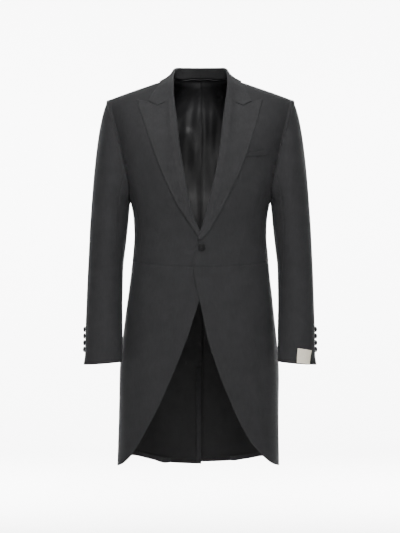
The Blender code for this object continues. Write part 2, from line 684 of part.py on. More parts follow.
def sleeve_normal(turn, travel, side):
    """Outward normal of the sleeve, from its slopes round and down."""
    inside = np.clip(travel, 0.004, 1.996)
    around = sleeve(turn + 0.5, inside, side) - sleeve(turn - 0.5, inside, side)
    down = sleeve(turn, inside + 0.004, side) - sleeve(turn, inside - 0.004, side)
    return unit(np.cross(around, down)) * side


def armhole_normals(side):
    """Directions through the rims at the armhole for the body's and the sleeve's walls: their mean where the
    two cloths meet edge to edge, each its own normal where they turn back on one another underneath."""
    turns = np.arange(0, 361, ARMHOLE_STEP).astype(float)
    of_body = body_normal(body(*armhole(side).T))
    of_sleeve = sleeve_normal(turns, np.zeros_like(turns), side)
    agree = np.sum(of_body * of_sleeve, axis=-1, keepdims=True)
    share = smooth_step(agree, -0.6, 0.0)
    return unit(of_body + of_sleeve * share), unit(of_sleeve + of_body * share)


def panel(name, places, side, rims=None, **finish):
    """A wall of body cloth through a grid of places; rims gives normals for stretches of an edge."""
    points, normals = seated(places, side)
    for target, values in (rims or {}).items():
        edge, first = target
        part = slice(first, first + len(values))
        rows = {"end": (part, -1), "top": (-1, part)}
        normals[rows[edge]] = values
    outer = draw_in(points, normals, SEAM_GAP / 2)
    return wall(name, outer, outer - normals * BODY_WALL, **finish)


def make_forepart(name, side):
    """Forepart: waist seam, front edge and roll line, shoulder seam, armhole and side seam."""
    seam = side_seam(side)
    end = np.concatenate([seam, armhole_part(side, SIDE_SEAM_TURN, 0)[1:]])
    neck = list(neck_line(side, np.linspace(1, NECK_BACK_SHARE + 0.0001, 5)))
    start = smooth_line(front_edge(FRONT_EDGE, side)[:-1] + neck, run_of(body(*end.T)))
    bottom = waist_line(start[0], end[0], FOREPART_COLUMNS)
    start[0], end[0] = bottom[0], bottom[-1]
    xs = np.linspace(NECK_POINT_X, SHOULDER_POINT_X, FOREPART_COLUMNS) * side
    top = place(xs, np.full(FOREPART_COLUMNS, 0.1))
    top[-1] = end[-1]
    rims = {("end", len(seam) - 1): armhole_normals(side)[0][SIDE_SEAM_TURN // ARMHOLE_STEP::-1]}
    panel(name, blend_edges(bottom, top, start, end), side, rims)


def make_side_body(name, side):
    """Side body: waist seam, side seam, underarm and back seam."""
    start, end = side_seam(side), back_seam_body(side)
    top = armhole_part(side, SIDE_SEAM_TURN, BACK_SEAM_TURN)
    bottom = waist_line(start[0], end[0], len(top))
    start[0], end[0] = bottom[0], bottom[-1]
    first, last = SIDE_SEAM_TURN // ARMHOLE_STEP, BACK_SEAM_TURN // ARMHOLE_STEP
    rims = {("top", 0): armhole_normals(side)[0][first:last + 1]}
    panel(name, blend_edges(bottom, top, start, end), side, rims)


def vent_rows(rows, hem, neck, row_at_vent, row_at_waist):
    """Heights of the centre seam's rows, two of them close together at the top of the vent."""
    knots = [0, row_at_vent, row_at_vent + 1, row_at_waist, rows - 1]
    return np.interp(np.arange(rows), knots, [hem, VENT_TOP_Z, VENT_TOP_Z + VENT_RUN, WAIST[-1].z, neck])


def centre_seam(xs, zs, side):
    """Places along the centre back, kept on the wanted side of the body where they pass the middle."""
    places = place(xs, zs, back=True)
    places[:, 0] = np.where(places[:, 0] * side < 0, places[:, 0] + GIRTH * side, places[:, 0])
    return places


def hem_line(start, end, count, side, rise=0.0):
    """Hem behind the side between two places."""
    angles = np.linspace(start[0], end[0], count) / GIRTH_PER_DEGREE
    return level(angles, hem_z(180 - np.abs(180 - np.abs(angles)), side) + rise)


def make_back(name, side):
    """Back: hem, centre seam and vent, neck and shoulder seams, armhole and back seam."""
    skirt, bodice = back_seam_skirt(side), back_seam_body(side)
    end = np.concatenate([skirt, bodice[1:], armhole_part(side, BACK_SEAM_TURN, 360)[1:]])
    row_at_vent = int(np.argmin(np.abs(body(*end.T)[:, 2] - VENT_TOP_Z)))
    zs = vent_rows(len(end), hem_z(180, side), NECK_BACK_Z, row_at_vent, len(skirt) - 1)
    lap = VENT_LAP if side > 0 else VENT_UNDERLAP
    start = centre_seam(-side * lap * smooth_step(zs, VENT_TOP_Z + 0.004, VENT_TOP_Z), zs, side)
    bottom = hem_line(start[0], end[0], BACK_COLUMNS, side)
    start[0], end[0] = bottom[0], bottom[-1]
    neck = neck_line(side, np.linspace(0, NECK_BACK_SHARE, 4))[:-1]
    neck[0] = start[-1]
    spread = np.linspace(0, 1, BACK_COLUMNS - 3) ** 1.6
    ridge_xs = (NECK_POINT_X + (SHOULDER_POINT_X - NECK_POINT_X) * spread) * side
    top = np.concatenate([neck, place(ridge_xs, np.full(BACK_COLUMNS - 3, 0.1), back=True)])
    top[-1] = end[-1]
    rims = {("end", len(skirt) + len(bodice) - 2): armhole_normals(side)[0][BACK_SEAM_TURN // ARMHOLE_STEP:]}
    panel(name, blend_edges(bottom, top, start, end), side, rims)


def make_skirt(name, side):
    """Skirt: waist seam, cutaway front edge, hem round the side, and the seam behind."""
    end = back_seam_skirt(side)
    start = smooth_line(front_edge(CUTAWAY[::-1], side), np.linspace(0, 1, len(end)))
    corner = front_edge(TAIL_CORNER, side)
    behind = [level(a * side, hem_z(a, side)) for a in (90.0, 107.0, 125.0, 146.0)]
    bottom = smooth_line([start[0]] + corner + behind + [end[0]], np.linspace(0, 1, SKIRT_COLUMNS))
    top = waist_line(start[-1], end[-1], SKIRT_COLUMNS)
    start[-1], end[-1] = top[0], top[-1]
    panel(name, blend_edges(bottom, top, start, end), side)


def neck_line(side, shares):
    """Places along the neckline, from the centre back over the neck point to the roll line."""
    behind = centre_seam(*(np.array(NECK_BACK + ((NECK_POINT_X, 0.1),)) * (side, 1)).T, side)
    behind = smooth_line(behind, np.linspace(0, 1, 50))
    front = [place(NECK_POINT_X * side, 0.1), place(NECK_SEAM_BEND_X * side, NECK_SEAM_BEND_Z),
             roll_line(side, np.array([GORGE_TOP_Z]))[0]]
    front = smooth_line(front, np.linspace(0, 1, 50))
    shares = np.asarray(shares, float)
    first = np.clip(shares / NECK_BACK_SHARE, 0, 1)
    second = np.clip((shares - NECK_BACK_SHARE) / (1 - NECK_BACK_SHARE), 0, 1)
    steps = np.linspace(0, 1, 50)
    on_back = np.stack([np.interp(first, steps, behind[:, k]) for k in (0, 1)], axis=-1)
    on_front = np.stack([np.interp(second, steps, front[:, k]) for k in (0, 1)], axis=-1)
    return np.where(shares[:, None] <= NECK_BACK_SHARE, on_back, on_front)


def roll_line(side, zs):
    """Places of the fold of the lapel at heights."""
    xs = column(FRONT_EDGE, "z", "left" if side > 0 else "right", zs)
    return place(xs, zs)


def fold(centres, towards, outwards, start_turn, count):
    """Arcs of the rolled edge: from behind the forepart's edge, round it, to its outer face."""
    turns = np.radians(start_turn + (90 - start_turn) * np.linspace(0, 1, count))[..., None]
    radial = towards[:, None] * np.cos(turns) + outwards[:, None] * np.sin(turns)
    return centres[:, None] + radial * ROLL_RADIUS, radial


def gorge_ends(side, count):
    """The gorge row that lapel and collar share: the fold's arc, then the seam out to the notch."""
    foot = roll_line(side, np.array([GORGE_TOP_Z, GORGE_TOP_Z - 0.004]))
    points, normals = seated(foot, side)
    along = unit(points[0] - points[1])
    towards = unit(np.cross(along, normals[0]))
    towards *= -np.sign(towards[0] * side)
    centre = points[0] - normals[0] * BODY_WALL / 2
    arc, radial = fold(centre[None], towards[None], normals[:1], FOLD_START, count)
    notch = place(NOTCH_IN.x * side, NOTCH_IN.z)
    seam = smooth_line([foot[0], notch], np.linspace(0, 1, 5)[1:])
    return arc[0], radial[0], seam


def lapel_lift(points, roll_point):
    """Outer height of a lapel over the forepart: its clearance and wall, and a soft spring near the roll."""
    away = np.linalg.norm(points - roll_point, axis=-1)
    spring = ROLL_SPRING * np.exp(-((away - 0.008) / (ROLL_SPRING_REACH / 2)) ** 2)
    return LAPEL_CLEARANCE + LAPEL_WALL + spring * smooth_step(points[..., 2], -0.375, -0.290)


def make_lapel(name, side):
    """Lapel: fold line, outer edge, gorge and peak, laid on the forepart's points and moved out."""
    outline = LAPEL_EDGE_LEFT if side > 0 else LAPEL_EDGE_RIGHT
    zs = np.linspace(LAPEL_FOOT_Z[side], GORGE_TOP_Z, LAPEL_ROWS)
    start = roll_line(side, zs)
    end = smooth_line([place(p.x, p.z) for p in outline], run_of(start))
    arc, radial, seam = gorge_ends(side, FOLD_COLUMNS)
    peak = smooth_line([seam[-1], place(NOTCH_OUT.x * side, NOTCH_OUT.z), end[-1]], np.linspace(0, 1, 4)[1:])
    top = np.concatenate([start[-1:], seam, peak])
    bottom = smooth_line([start[0], end[0]], run_of(top))
    base, normals = seated(blend_edges(bottom, top, start, end), side)
    leaf = base + normals * lapel_lift(base, base[:, :1])[..., None]
    along = unit(np.gradient(base[:, 0], axis=0))
    towards = unit(np.cross(along, normals[:, 0]))
    towards *= np.where(towards[:, :1] * side > 0, -1, 1)
    centres = base[:, 0] - normals[:, 0] * BODY_WALL / 2
    foot = smooth_step(zs, -0.335, -0.362) if side > 0 else np.zeros(LAPEL_ROWS)
    starts = (FOLD_START + (FOLD_START_AT_FOOT - FOLD_START) * foot)[:, None]
    arcs, radials = fold(centres, towards, normals[:, 0], starts, FOLD_COLUMNS)
    arcs[-1], radials[-1] = arc, radial
    grid = np.concatenate([arcs, leaf[:, 1:]], axis=1)
    facing = grid_normals(grid, np.concatenate([radials, normals[:, 1:]], axis=1))
    facing[:, :FOLD_COLUMNS] = radials
    facing[-1, FOLD_COLUMNS:] = normals[-1, 1:]
    facing[0, FOLD_COLUMNS:] = normals[0, 1:]
    outer = draw_in(grid, facing, SEAM_GAP / 2, "top")
    wall(name, outer, outer - facing * LAPEL_WALL)


def collar_half(side):
    """One half of the collar, centre back to gorge, in rows from the stand to the edge of its fall."""
    folded = STAND_COLUMNS + FOLD_COLUMNS
    arc, _, seam = gorge_ends(side, folded)
    shares = np.linspace(0, 1, COLLAR_STATIONS)
    crests = smooth_line([(c.x * side, c.y, c.z) for c in CREST] + [arc[folded // 2]], shares)
    edge = [body(*place(p.x * side, p.z, p.back)) for p in FALL_EDGE]
    edges = smooth_line(edge, shares)
    feet = body(*neck_line(side, shares).T)
    normals = body_normal(feet)
    inward = unit(np.cross(unit(np.gradient(feet, axis=0)), normals))
    inward *= np.where(np.sum(inward * (crests - feet), axis=-1, keepdims=True) < 0, -1, 1)
    near = smooth_step(shares, 0.70, 1.0)[:, None]
    feet = feet + inward * STAND_INSET + normals * STAND_LIFT
    to_stand, to_fall = unit(feet - crests), unit(edges - crests)
    along = unit(np.gradient(crests, axis=0))
    up = -unit(to_stand + to_fall)
    up = unit(up - along * np.sum(up * along, axis=-1, keepdims=True))
    across = np.cross(along, up)
    across *= np.where(np.sum(across * (to_fall - to_stand), axis=-1, keepdims=True) < 0, -1, 1)
    arcs, _ = fold(crests - up * ROLL_RADIUS, up, across, -90, FOLD_COLUMNS)
    rise = np.linspace(0, 1, STAND_COLUMNS + 1)[None, :-1, None]
    stand = feet[:, None] + (arcs[:, :1] - feet[:, None]) * rise
    rolled = np.concatenate([stand, arcs], axis=1)
    rolled = rolled * (1 - near[..., None]) + (arc[None] + (crests - crests[-1])[:, None]) * near[..., None]
    w = np.linspace(0, 1, FALL_COLUMNS + 3)[None, 1:, None]
    fall = rolled[:, -1:] * (1 - w) + edges[:, None] * w
    tip = place(FALL_EDGE[-1].x * side, FALL_EDGE[-1].z)
    corner = smooth_line([seam[-1], tip], np.linspace(0, 1, 4)[1:])
    gorge = body(*np.concatenate([seam, corner]).T)
    gorge = gorge + body_normal(gorge) * (LAPEL_CLEARANCE + LAPEL_WALL)
    fall = fall + (gorge - fall[-1])[None] * smooth_step(shares, 0.60, 1.0)[:, None, None]
    fall = fall + body_normal(fall) * FALL_BULGE * 4 * w * (1 - w)
    clearance = LAPEL_CLEARANCE + LAPEL_WALL + COLLAR_EASE * (1 - near)
    return np.concatenate([rolled, lift_clear(fall, clearance)], axis=1)


def make_collar(name):
    """Collar: stand, fold and fall from one gorge round the neck to the other, clear of the shoulders."""
    grid = np.concatenate([collar_half(-1)[::-1], collar_half(1)[1:]])
    outward = np.zeros_like(grid)
    outward[:, -FALL_COLUMNS:] = body_normal(grid[:, -FALL_COLUMNS:])
    facing = grid_normals(grid, outward)
    outer = draw_in(grid, facing, SEAM_GAP / 2, "bottom top")
    wall(name, outer, outer - facing * LAPEL_WALL)


def sleeve_seams(travel):
    """Turns of the front and hind seams along the sleeve: they wind forwards towards the cuff."""
    z = HEAD_END_Z + (CUFF_Z - HEAD_END_Z) * np.clip(travel - 1, 0, 1)
    wound = smooth_step(z, TWIST_FROM_Z, TWIST_TO_Z)
    front = FRONT_SEAM_TOP + (FRONT_SEAM_CUFF - FRONT_SEAM_TOP) * wound
    hind = HIND_SEAM_TOP + (HIND_SEAM_CUFF - HIND_SEAM_TOP) * wound
    return front, hind


def make_sleeve_panel(name, side, under):
    """Top or under sleeve: armhole, the two seams and the cuff."""
    travel = np.concatenate([np.linspace(0, 1, HEAD_ROWS), 1 + np.linspace(0, 1, SLEEVE_ROWS)[1:]])
    front, hind = sleeve_seams(travel)
    first, last = (front, hind + 360) if under else (hind, front)
    count = int(round((last[0] - first[0]) / ARMHOLE_STEP)) + 1
    turns = first[:, None] + (last - first)[:, None] * np.linspace(0, 1, count)[None]
    travels = np.broadcast_to(travel[:, None], turns.shape)
    points = sleeve(turns, travels, side)
    normals = sleeve_normal(turns, travels, side)
    at_armhole = np.mod(np.round(turns[0] / ARMHOLE_STEP).astype(int), 360 // ARMHOLE_STEP)
    normals[0] = armhole_normals(side)[1][at_armhole]
    outer = draw_in(points, normals, SEAM_GAP / 2, "bottom start end")
    wall(name, outer, outer - normals * SLEEVE_WALL)


def make_lining(name, side):
    """Lining of the back and tails: from the centre pleat round to the side, held inside the cloth."""
    hem = hem_z(180, side) + LINING_HEM_RISE
    zs = vent_rows(LINING_ROWS, hem, NECK_BACK_Z - LINING_MARGIN, LINING_ROW_AT_VENT, LINING_ROW_AT_WAIST)
    in_vent = smooth_step(zs, VENT_TOP_Z + 0.004, VENT_TOP_Z)
    seam_x = LINING_SEAM_X + LINING_SEAM_GAP * (1 if side > 0 else 0)
    edge_x = LINING_SEAM_X + 2 * LINING_SEAM_GAP if side > 0 else FACING_INNER_X - 2 * LINING_SEAM_GAP
    start = centre_seam(seam_x + (edge_x - seam_x) * in_vent, zs, side)
    arm = armhole(side)[BACK_SEAM_TURN // ARMHOLE_STEP:-1]
    solid = body(*arm.T)
    arm = place((np.abs(solid[:, 0]) - 0.006) * side, solid[:, 2] - 0.002, back=True)
    side_angles = np.array([p.angle for p in LINING_SIDE], float) * side
    side_points = level(side_angles, np.array([p.z for p in LINING_SIDE]))
    shoulder_x = (SHOULDER_POINT_X - 0.010) * side
    shoulder = place(shoulder_x, column(SHOULDER, "x", "z", abs(shoulder_x)) - LINING_MARGIN, back=True)
    end = smooth_line(list(side_points) + list(arm) + [shoulder], run_of(body(*start.T)))
    bottom = hem_line(start[0], end[0], LINING_COLUMNS, side, LINING_HEM_RISE)
    start[0], end[0] = bottom[0], bottom[-1]
    xs = np.linspace(0, abs(shoulder_x), LINING_COLUMNS)
    tops = np.minimum(NECK_BACK_Z, column(SHOULDER, "x", "z", xs)) - LINING_MARGIN
    top = place(xs * side, tops, back=True)
    top[0], top[-1] = start[-1], end[-1]
    places = blend_edges(bottom, top, start, end)
    ease = LINING_EASE_AT_TOP * smooth_step(body(*places.transpose(2, 0, 1))[..., 2], -0.13, -0.04)
    points, normals = seated(places, side, -BODY_WALL - LINING_CLEARANCE - ease)
    wall(name, points, points - normals * LINING_WALL, colour=LINING_COLOUR, roughness=0.35, sheen=0.0)


def make_patch(name, corners, side, out, thickness, counts, colour, roughness):
    """A flat piece laid on the body between four places, as a grid moved out of its points."""
    bottom = smooth_line([corners[0], corners[1]], np.linspace(0, 1, counts[0]))
    top = smooth_line([corners[3], corners[2]], np.linspace(0, 1, counts[0]))
    start = smooth_line([corners[0], corners[3]], np.linspace(0, 1, counts[1]))
    end = smooth_line([corners[1], corners[2]], np.linspace(0, 1, counts[1]))
    points, normals = seated(blend_edges(bottom, top, start, end), side, out)
    wall(name, points, points - normals * thickness, colour=colour, roughness=roughness)


def make_welt(name):
    """Breast welt on the wearer's left: it rises from just past the lapel's edge towards the sleeve."""
    outer = np.array([WELT_TOP_Z - WELT_HEIGHT, WELT_TOP_Z])
    inner = outer - WELT_RISE
    inner_x = column(LAPEL_EDGE_LEFT, "z", "x", inner) + WELT_LAPEL_MARGIN
    lower = [place(inner_x[0], inner[0]), place(WELT_OUTER_X + 0.001, outer[0])]
    upper = [place(WELT_OUTER_X, outer[1]), place(inner_x[1], inner[1])]
    corners = lower + upper
    make_patch(name, corners, 1, TRIM_CLEARANCE + WELT_WALL, WELT_WALL, (7, 3), WOOL_COLOUR, 0.85)


def make_vent_facing(name):
    """Strip of cloth along the vent's inner edge, inside the wearer's right back."""
    hem = hem_z(180, -1)
    spots = [(FACING_INNER_X, hem), (VENT_UNDERLAP - 0.0006, hem),
             (VENT_UNDERLAP - 0.0006, FACING_TOP_Z), (FACING_INNER_X, FACING_TOP_Z)]
    corners = np.array([place(x, z, back=True) for x, z in spots])
    corners[:, 0] = np.where(corners[:, 0] > 0, corners[:, 0] - GIRTH, corners[:, 0])
    out = -BODY_WALL - TRIM_CLEARANCE
    make_patch(name, corners, -1, out, LINING_WALL, (2, 12), WOOL_COLOUR, 0.85)


def make_sleeve_label(name):
    """Plain label sewn a little askew on the left sleeve, from its bottom to its top turns and heights."""
    across, rise = (v[..., None] for v in np.meshgrid(np.linspace(0, 1, 6), np.linspace(0, 1, 4)))
    inner, outer = np.array(LABEL_INNER), np.array(LABEL_OUTER)
    at_inner, at_outer = inner[0] + (inner[1] - inner[0]) * rise, outer[0] + (outer[1] - outer[0]) * rise
    turn, z = np.moveaxis(at_outer + (at_inner - at_outer) * across, -1, 0)
    cuff = CUFF_Z - CUFF_TILT * np.cos(np.radians(turn))
    travel = 1 + (z - HEAD_END_Z) / (cuff - HEAD_END_Z)
    normals = sleeve_normal(turn, travel, 1)
    points = sleeve(turn, travel, 1) + normals * (TRIM_CLEARANCE + LABEL_WALL)
    wall(name, points, points - normals * LABEL_WALL, colour=LABEL_COLOUR, roughness=0.7)


def make_button(name, radius, height, steps, seat, normal):
    """A button turned from its profile: a short shank and a domed disc, seated on the cloth."""
    shank, rise, edge = radius * 0.28, BUTTON_RISE, 0.0012
    crown, rim = (radius * 0.75, rise + height - edge / 3), (radius, rise + height - edge * 1.5)
    under, foot = (radius * 0.9, rise), (shank, rise)
    profile = [(0, rise + height), crown, rim, under, foot, (shank, 0), (0, 0)]
    mesh = bpy.data.meshes.new(name)
    mesh.from_pydata([(r, 0, z) for r, z in profile], [(i, i + 1) for i in range(len(profile) - 1)], [])
    piece = new_object(name, mesh, BUTTON_COLOUR, 0.4)
    screw = piece.modifiers.new("turn", "SCREW")
    screw.axis = "Z"
    screw.steps = screw.render_steps = steps
    screw.use_merge_vertices = True
    screw.merge_threshold = 0.00005
    screw.use_smooth_shade = True
    across = unit(np.cross(normal, (0, 0, 1)))
    up = np.cross(across, normal)
    piece.rotation_mode = "QUATERNION"
    frame = np.stack([up, np.cross(normal, up), normal], axis=1)
    piece.rotation_quaternion = quaternion_of(frame)
    piece.location = seat + normal * TRIM_CLEARANCE
    return piece


def quaternion_of(frame):
    """Rotation of a right-handed frame given by its three columns."""
    return Matrix(frame.tolist()).to_quaternion()


def make_buttons():
    """The front button on the left front, and four on each cuff beside the hind seam."""
    seat, normals = seated(place(BUTTON_X, BUTTON_Z)[None], 1)
    make_button("front_button", FRONT_BUTTON_RADIUS, FRONT_BUTTON_HEIGHT, 16, seat[0], normals[0])
    for word, side in SIDES.items():
        for number in range(4):
            z = CUFF_BUTTON_FIRST_Z - CUFF_BUTTON_PITCH * number
            turn = np.array([float(CUFF_BUTTON_TURN)])
            cuff = CUFF_Z - CUFF_TILT * math.cos(math.radians(CUFF_BUTTON_TURN))
            travel = np.array([1 + (z - HEAD_END_Z) / (cuff - HEAD_END_Z)])
            spot, normal = sleeve(turn, travel, side)[0], sleeve_normal(turn, travel, side)[0]
            name = f"cuff_button_{word}_{number + 1}"
            make_button(name, CUFF_BUTTON_RADIUS, CUFF_BUTTON_HEIGHT, 10, spot, normal)


def clear_scene():
    """Removes what the scene holds and makes the coat's collection."""
    for item in list(bpy.data.objects):
        bpy.data.objects.remove(item)
    bpy.context.scene.collection.children.link(bpy.data.collections.new("morning_coat"))


def main():
    """Builds every piece of the coat."""
    clear_scene()
    for word, side in SIDES.items():
        make_forepart(f"forepart_{word}", side)
        make_side_body(f"side_body_{word}", side)
        make_back(f"back_{word}", side)
        make_skirt(f"skirt_{word}", side)
        make_lapel(f"lapel_{word}", side)
        make_sleeve_panel(f"top_sleeve_{word}", side, under=False)
        make_sleeve_panel(f"under_sleeve_{word}", side, under=True)
        make_lining(f"lining_{word}", side)
    make_collar("collar")
    make_welt("breast_welt")
    make_vent_facing("vent_facing")
    make_sleeve_label("sleeve_label")
    make_buttons()


main()
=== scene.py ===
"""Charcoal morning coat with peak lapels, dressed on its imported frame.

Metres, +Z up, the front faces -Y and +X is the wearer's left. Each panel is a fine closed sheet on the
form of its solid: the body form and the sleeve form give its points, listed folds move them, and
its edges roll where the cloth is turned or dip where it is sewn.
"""

import logging
import math
from dataclasses import dataclass, field
from enum import Enum
from typing import Any, NamedTuple, Sequence

import bpy
import numpy as np
from numpy.typing import NDArray
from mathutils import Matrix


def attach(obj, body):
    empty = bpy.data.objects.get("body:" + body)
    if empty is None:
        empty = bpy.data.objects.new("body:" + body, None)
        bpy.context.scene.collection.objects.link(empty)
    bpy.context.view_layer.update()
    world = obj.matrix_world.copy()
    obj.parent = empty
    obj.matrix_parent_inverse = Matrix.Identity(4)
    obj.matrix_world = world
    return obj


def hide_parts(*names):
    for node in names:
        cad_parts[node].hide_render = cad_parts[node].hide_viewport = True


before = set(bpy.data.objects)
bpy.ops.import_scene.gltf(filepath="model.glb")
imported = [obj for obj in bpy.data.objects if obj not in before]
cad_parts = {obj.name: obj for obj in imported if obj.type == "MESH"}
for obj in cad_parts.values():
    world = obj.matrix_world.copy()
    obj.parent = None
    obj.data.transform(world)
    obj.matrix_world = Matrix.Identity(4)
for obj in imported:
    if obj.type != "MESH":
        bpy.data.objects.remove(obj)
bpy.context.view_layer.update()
LOG = logging.getLogger("morning_coat")
Array = NDArray[np.float64]

# Cloth and clearances
BODY_WALL = 0.0020
SLEEVE_WALL = 0.0018
LAPEL_WALL = 0.0018
LINING_WALL = 0.0010
SEAM_GAP = 0.0003
LAPEL_CLEARANCE = 0.0011
LINING_CLEARANCE = 0.0034
LINING_EASE_AT_TOP = 0.0030
LAP_CLEARANCE = 0.0007
TRIM_CLEARANCE = 0.0008
UNDERARM_GAP = 0.0002
CELL = 0.0042
FINE_CELL = 0.0026
EDGE_STEPS = (0.0, 0.0004, 0.0010, 0.0019, 0.0032, 0.0052)


class Ring(NamedTuple):
    """A level ring of the body form."""
    z: float
    half_width: float
    front_depth: float
    back_depth: float


class Shoulder(NamedTuple):
    """Height of the shoulder ridge at a distance from the middle."""
    x: float
    z: float


class EdgePoint(NamedTuple):
    """Where an edge of the left and of the right front shows at a height."""
    z: float
    left: float
    right: float


class HemPoint(NamedTuple):
    """Heights of the left and right hem at an angle from the front's middle."""
    angle: float
    left: float
    right: float


class LevelPoint(NamedTuple):
    """A point at an angle from the front's middle and a height."""
    angle: float
    z: float


class ViewPoint(NamedTuple):
    """A point as it shows from the front or from the back."""
    x: float
    z: float


class SleeveRing(NamedTuple):
    """A level ring of the sleeve form."""
    z: float
    inner: float
    outer: float
    front: float
    back: float


class HeadFlow(NamedTuple):
    """How the sleeve head leaves the armhole at a turn round it."""
    turn: float
    out: float
    forward: float
    down: float


class Crest(NamedTuple):
    """A point of the collar's fold."""
    x: float
    y: float
    z: float


class FallPoint(NamedTuple):
    """A point of the collar fall's outer edge, seen from the front or the back."""
    x: float
    z: float
    back: bool


def table(kind: Any, rows: Sequence[tuple[Any, ...]]) -> tuple[Any, ...]:
    """Plain rows as named ones of one kind."""
    return tuple(kind(*row) for row in rows)


RINGS = table(Ring, (
    (-0.97, 0.203, 0.13, 0.138), (-0.9, 0.2014, 0.13, 0.136), (-0.805, 0.1994, 0.129, 0.133),
    (-0.7, 0.1972, 0.128, 0.129), (-0.628, 0.1906, 0.126, 0.124), (-0.568, 0.184, 0.123, 0.117),
    (-0.514, 0.1775, 0.12, 0.107), (-0.453, 0.1709, 0.118, 0.095), (-0.403, 0.1664, 0.119, 0.091),
    (-0.375, 0.1657, 0.122, 0.093), (-0.336, 0.1678, 0.127, 0.099), (-0.297, 0.1758, 0.132, 0.106),
    (-0.272, 0.183, 0.134, 0.111), (-0.236, 0.1944, 0.136, 0.116), (-0.194, 0.2048, 0.136, 0.12),
    (-0.148, 0.2143, 0.134, 0.122), (-0.094, 0.2294, 0.132, 0.122), (-0.057, 0.2395, 0.131, 0.121),
    (-0.03, 0.248, 0.13, 0.12), (0.07, 0.275, 0.13, 0.118),
))
SHOULDER = table(Shoulder, (
    (0.0, 0.06), (0.03, 0.052), (0.06, 0.028), (0.085, 0.008), (0.117, -0.0038),
    (0.174, -0.024), (0.2045, -0.035), (0.2296, -0.0425), (0.3, -0.062),
))
FRONT_EDGE = table(EdgePoint, (
    (-0.461, -0.0186, 0.02), (-0.446, -0.019, 0.02), (-0.436, -0.0175, 0.0198),
    (-0.424, -0.0135, 0.018), (-0.404, -0.0075, 0.011), (-0.388, -0.0025, 0.0025),
    (-0.371, 0.0032, -0.0065), (-0.348, 0.0112, -0.0165), (-0.298, 0.0246, -0.0302),
    (-0.223, 0.0415, -0.0443), (-0.162, 0.0514, -0.0541), (-0.111, 0.0571, -0.0598),
    (-0.063, 0.0633, -0.066), (-0.04, 0.0665, -0.0685),
))
CUTAWAY = table(EdgePoint, (
    (-0.461, -0.0186, 0.02), (-0.489, -0.0156, 0.018), (-0.514, -0.0105, 0.012),
    (-0.543, -0.0034, -0.002), (-0.581, 0.0055, -0.0145), (-0.64, 0.0182, -0.0334),
    (-0.694, 0.0355, -0.0543), (-0.744, 0.0533, -0.0755), (-0.794, 0.0741, -0.097),
    (-0.843, 0.0965, -0.1222), (-0.885, 0.12, -0.1455), (-0.926, 0.1535, -0.1708),
))
TAIL_CORNER = (EdgePoint(-0.944, 0.1737, -0.188), EdgePoint(-0.9535, 0.1905, -0.2012))
HEM = table(HemPoint, (
    (90, -0.9575, -0.9575), (107, -0.95, -0.9495), (125, -0.9445, -0.943),
    (146, -0.9562, -0.9574), (160, -0.9622, -0.9663), (180, -0.9652, -0.97),
))
HEM_BEHIND = (90.0, 107.0, 125.0, 146.0)
WAIST = table(LevelPoint, (
    (-10, -0.4612), (20, -0.4605), (40, -0.4563), (56, -0.4526), (90, -0.45), (150, -0.449),
))
SIDE_SEAM = table(ViewPoint, (
    (0.1442, -0.453), (0.145, -0.42), (0.149, -0.37), (0.159, -0.32),
))
BACK_SEAM_SKIRT = table(ViewPoint, (
    (0.078, -0.958), (0.074, -0.8), (0.069, -0.62), (0.0655, -0.5), (0.0655, -0.449),
))
BACK_SEAM_BODY = table(ViewPoint, (
    (0.0655, -0.449), (0.073, -0.395), (0.093, -0.335), (0.126, -0.27), (0.16, -0.218),
))
ARMHOLE_FRONT = table(ViewPoint, (
    (0.2225, -0.057), (0.2138, -0.094), (0.1993, -0.148), (0.1903, -0.194), (0.182, -0.236),
    (0.1758, -0.272),
))
ARMHOLE_BACK = table(ViewPoint, (
    (0.2195, -0.06), (0.206, -0.1), (0.1945, -0.15), (0.1875, -0.2), (0.1815, -0.245),
    (0.1772, -0.28),
))
UNDERARM_Z = -0.297
SIDE_SEAM_TURN, BACK_SEAM_TURN = 165.0, 270.0
NECK_POINT_X, SHOULDER_POINT_X, ABOVE_RIDGE = 0.085, 0.2296, 0.1
NECK_BACK = ((0.0, 0.0165), (0.03, 0.0155), (0.06, 0.0125), (NECK_POINT_X, ABOVE_RIDGE))
NECK_BACK_Z = NECK_BACK[0][1]
NECK_BACK_SHARE = 0.60
NECK_SEAM_BEND = ViewPoint(0.0735, -0.018)
VENT_TOP_Z, VENT_RUN, VENT_LAP, VENT_UNDERLAP = -0.715, 0.012, 0.02, 0.0025
VENT_OPENS = 0.004

# Heights and distances over which the setting in under a lap fades
UNDER_LAPEL_FROM, UNDER_LAPEL_TO = (-0.44, -0.415), (-0.25, -0.365)
FRONT_LAP_FROM, FRONT_LAP_TO, FRONT_LAP_SIDE = (-0.64, -0.56), (-0.33, -0.4), (-0.08, -0.022)
BACK_LAP_ABOVE_VENT, BACK_LAP_SIDE = (0.055, 0.01), (-0.06, -0.026)

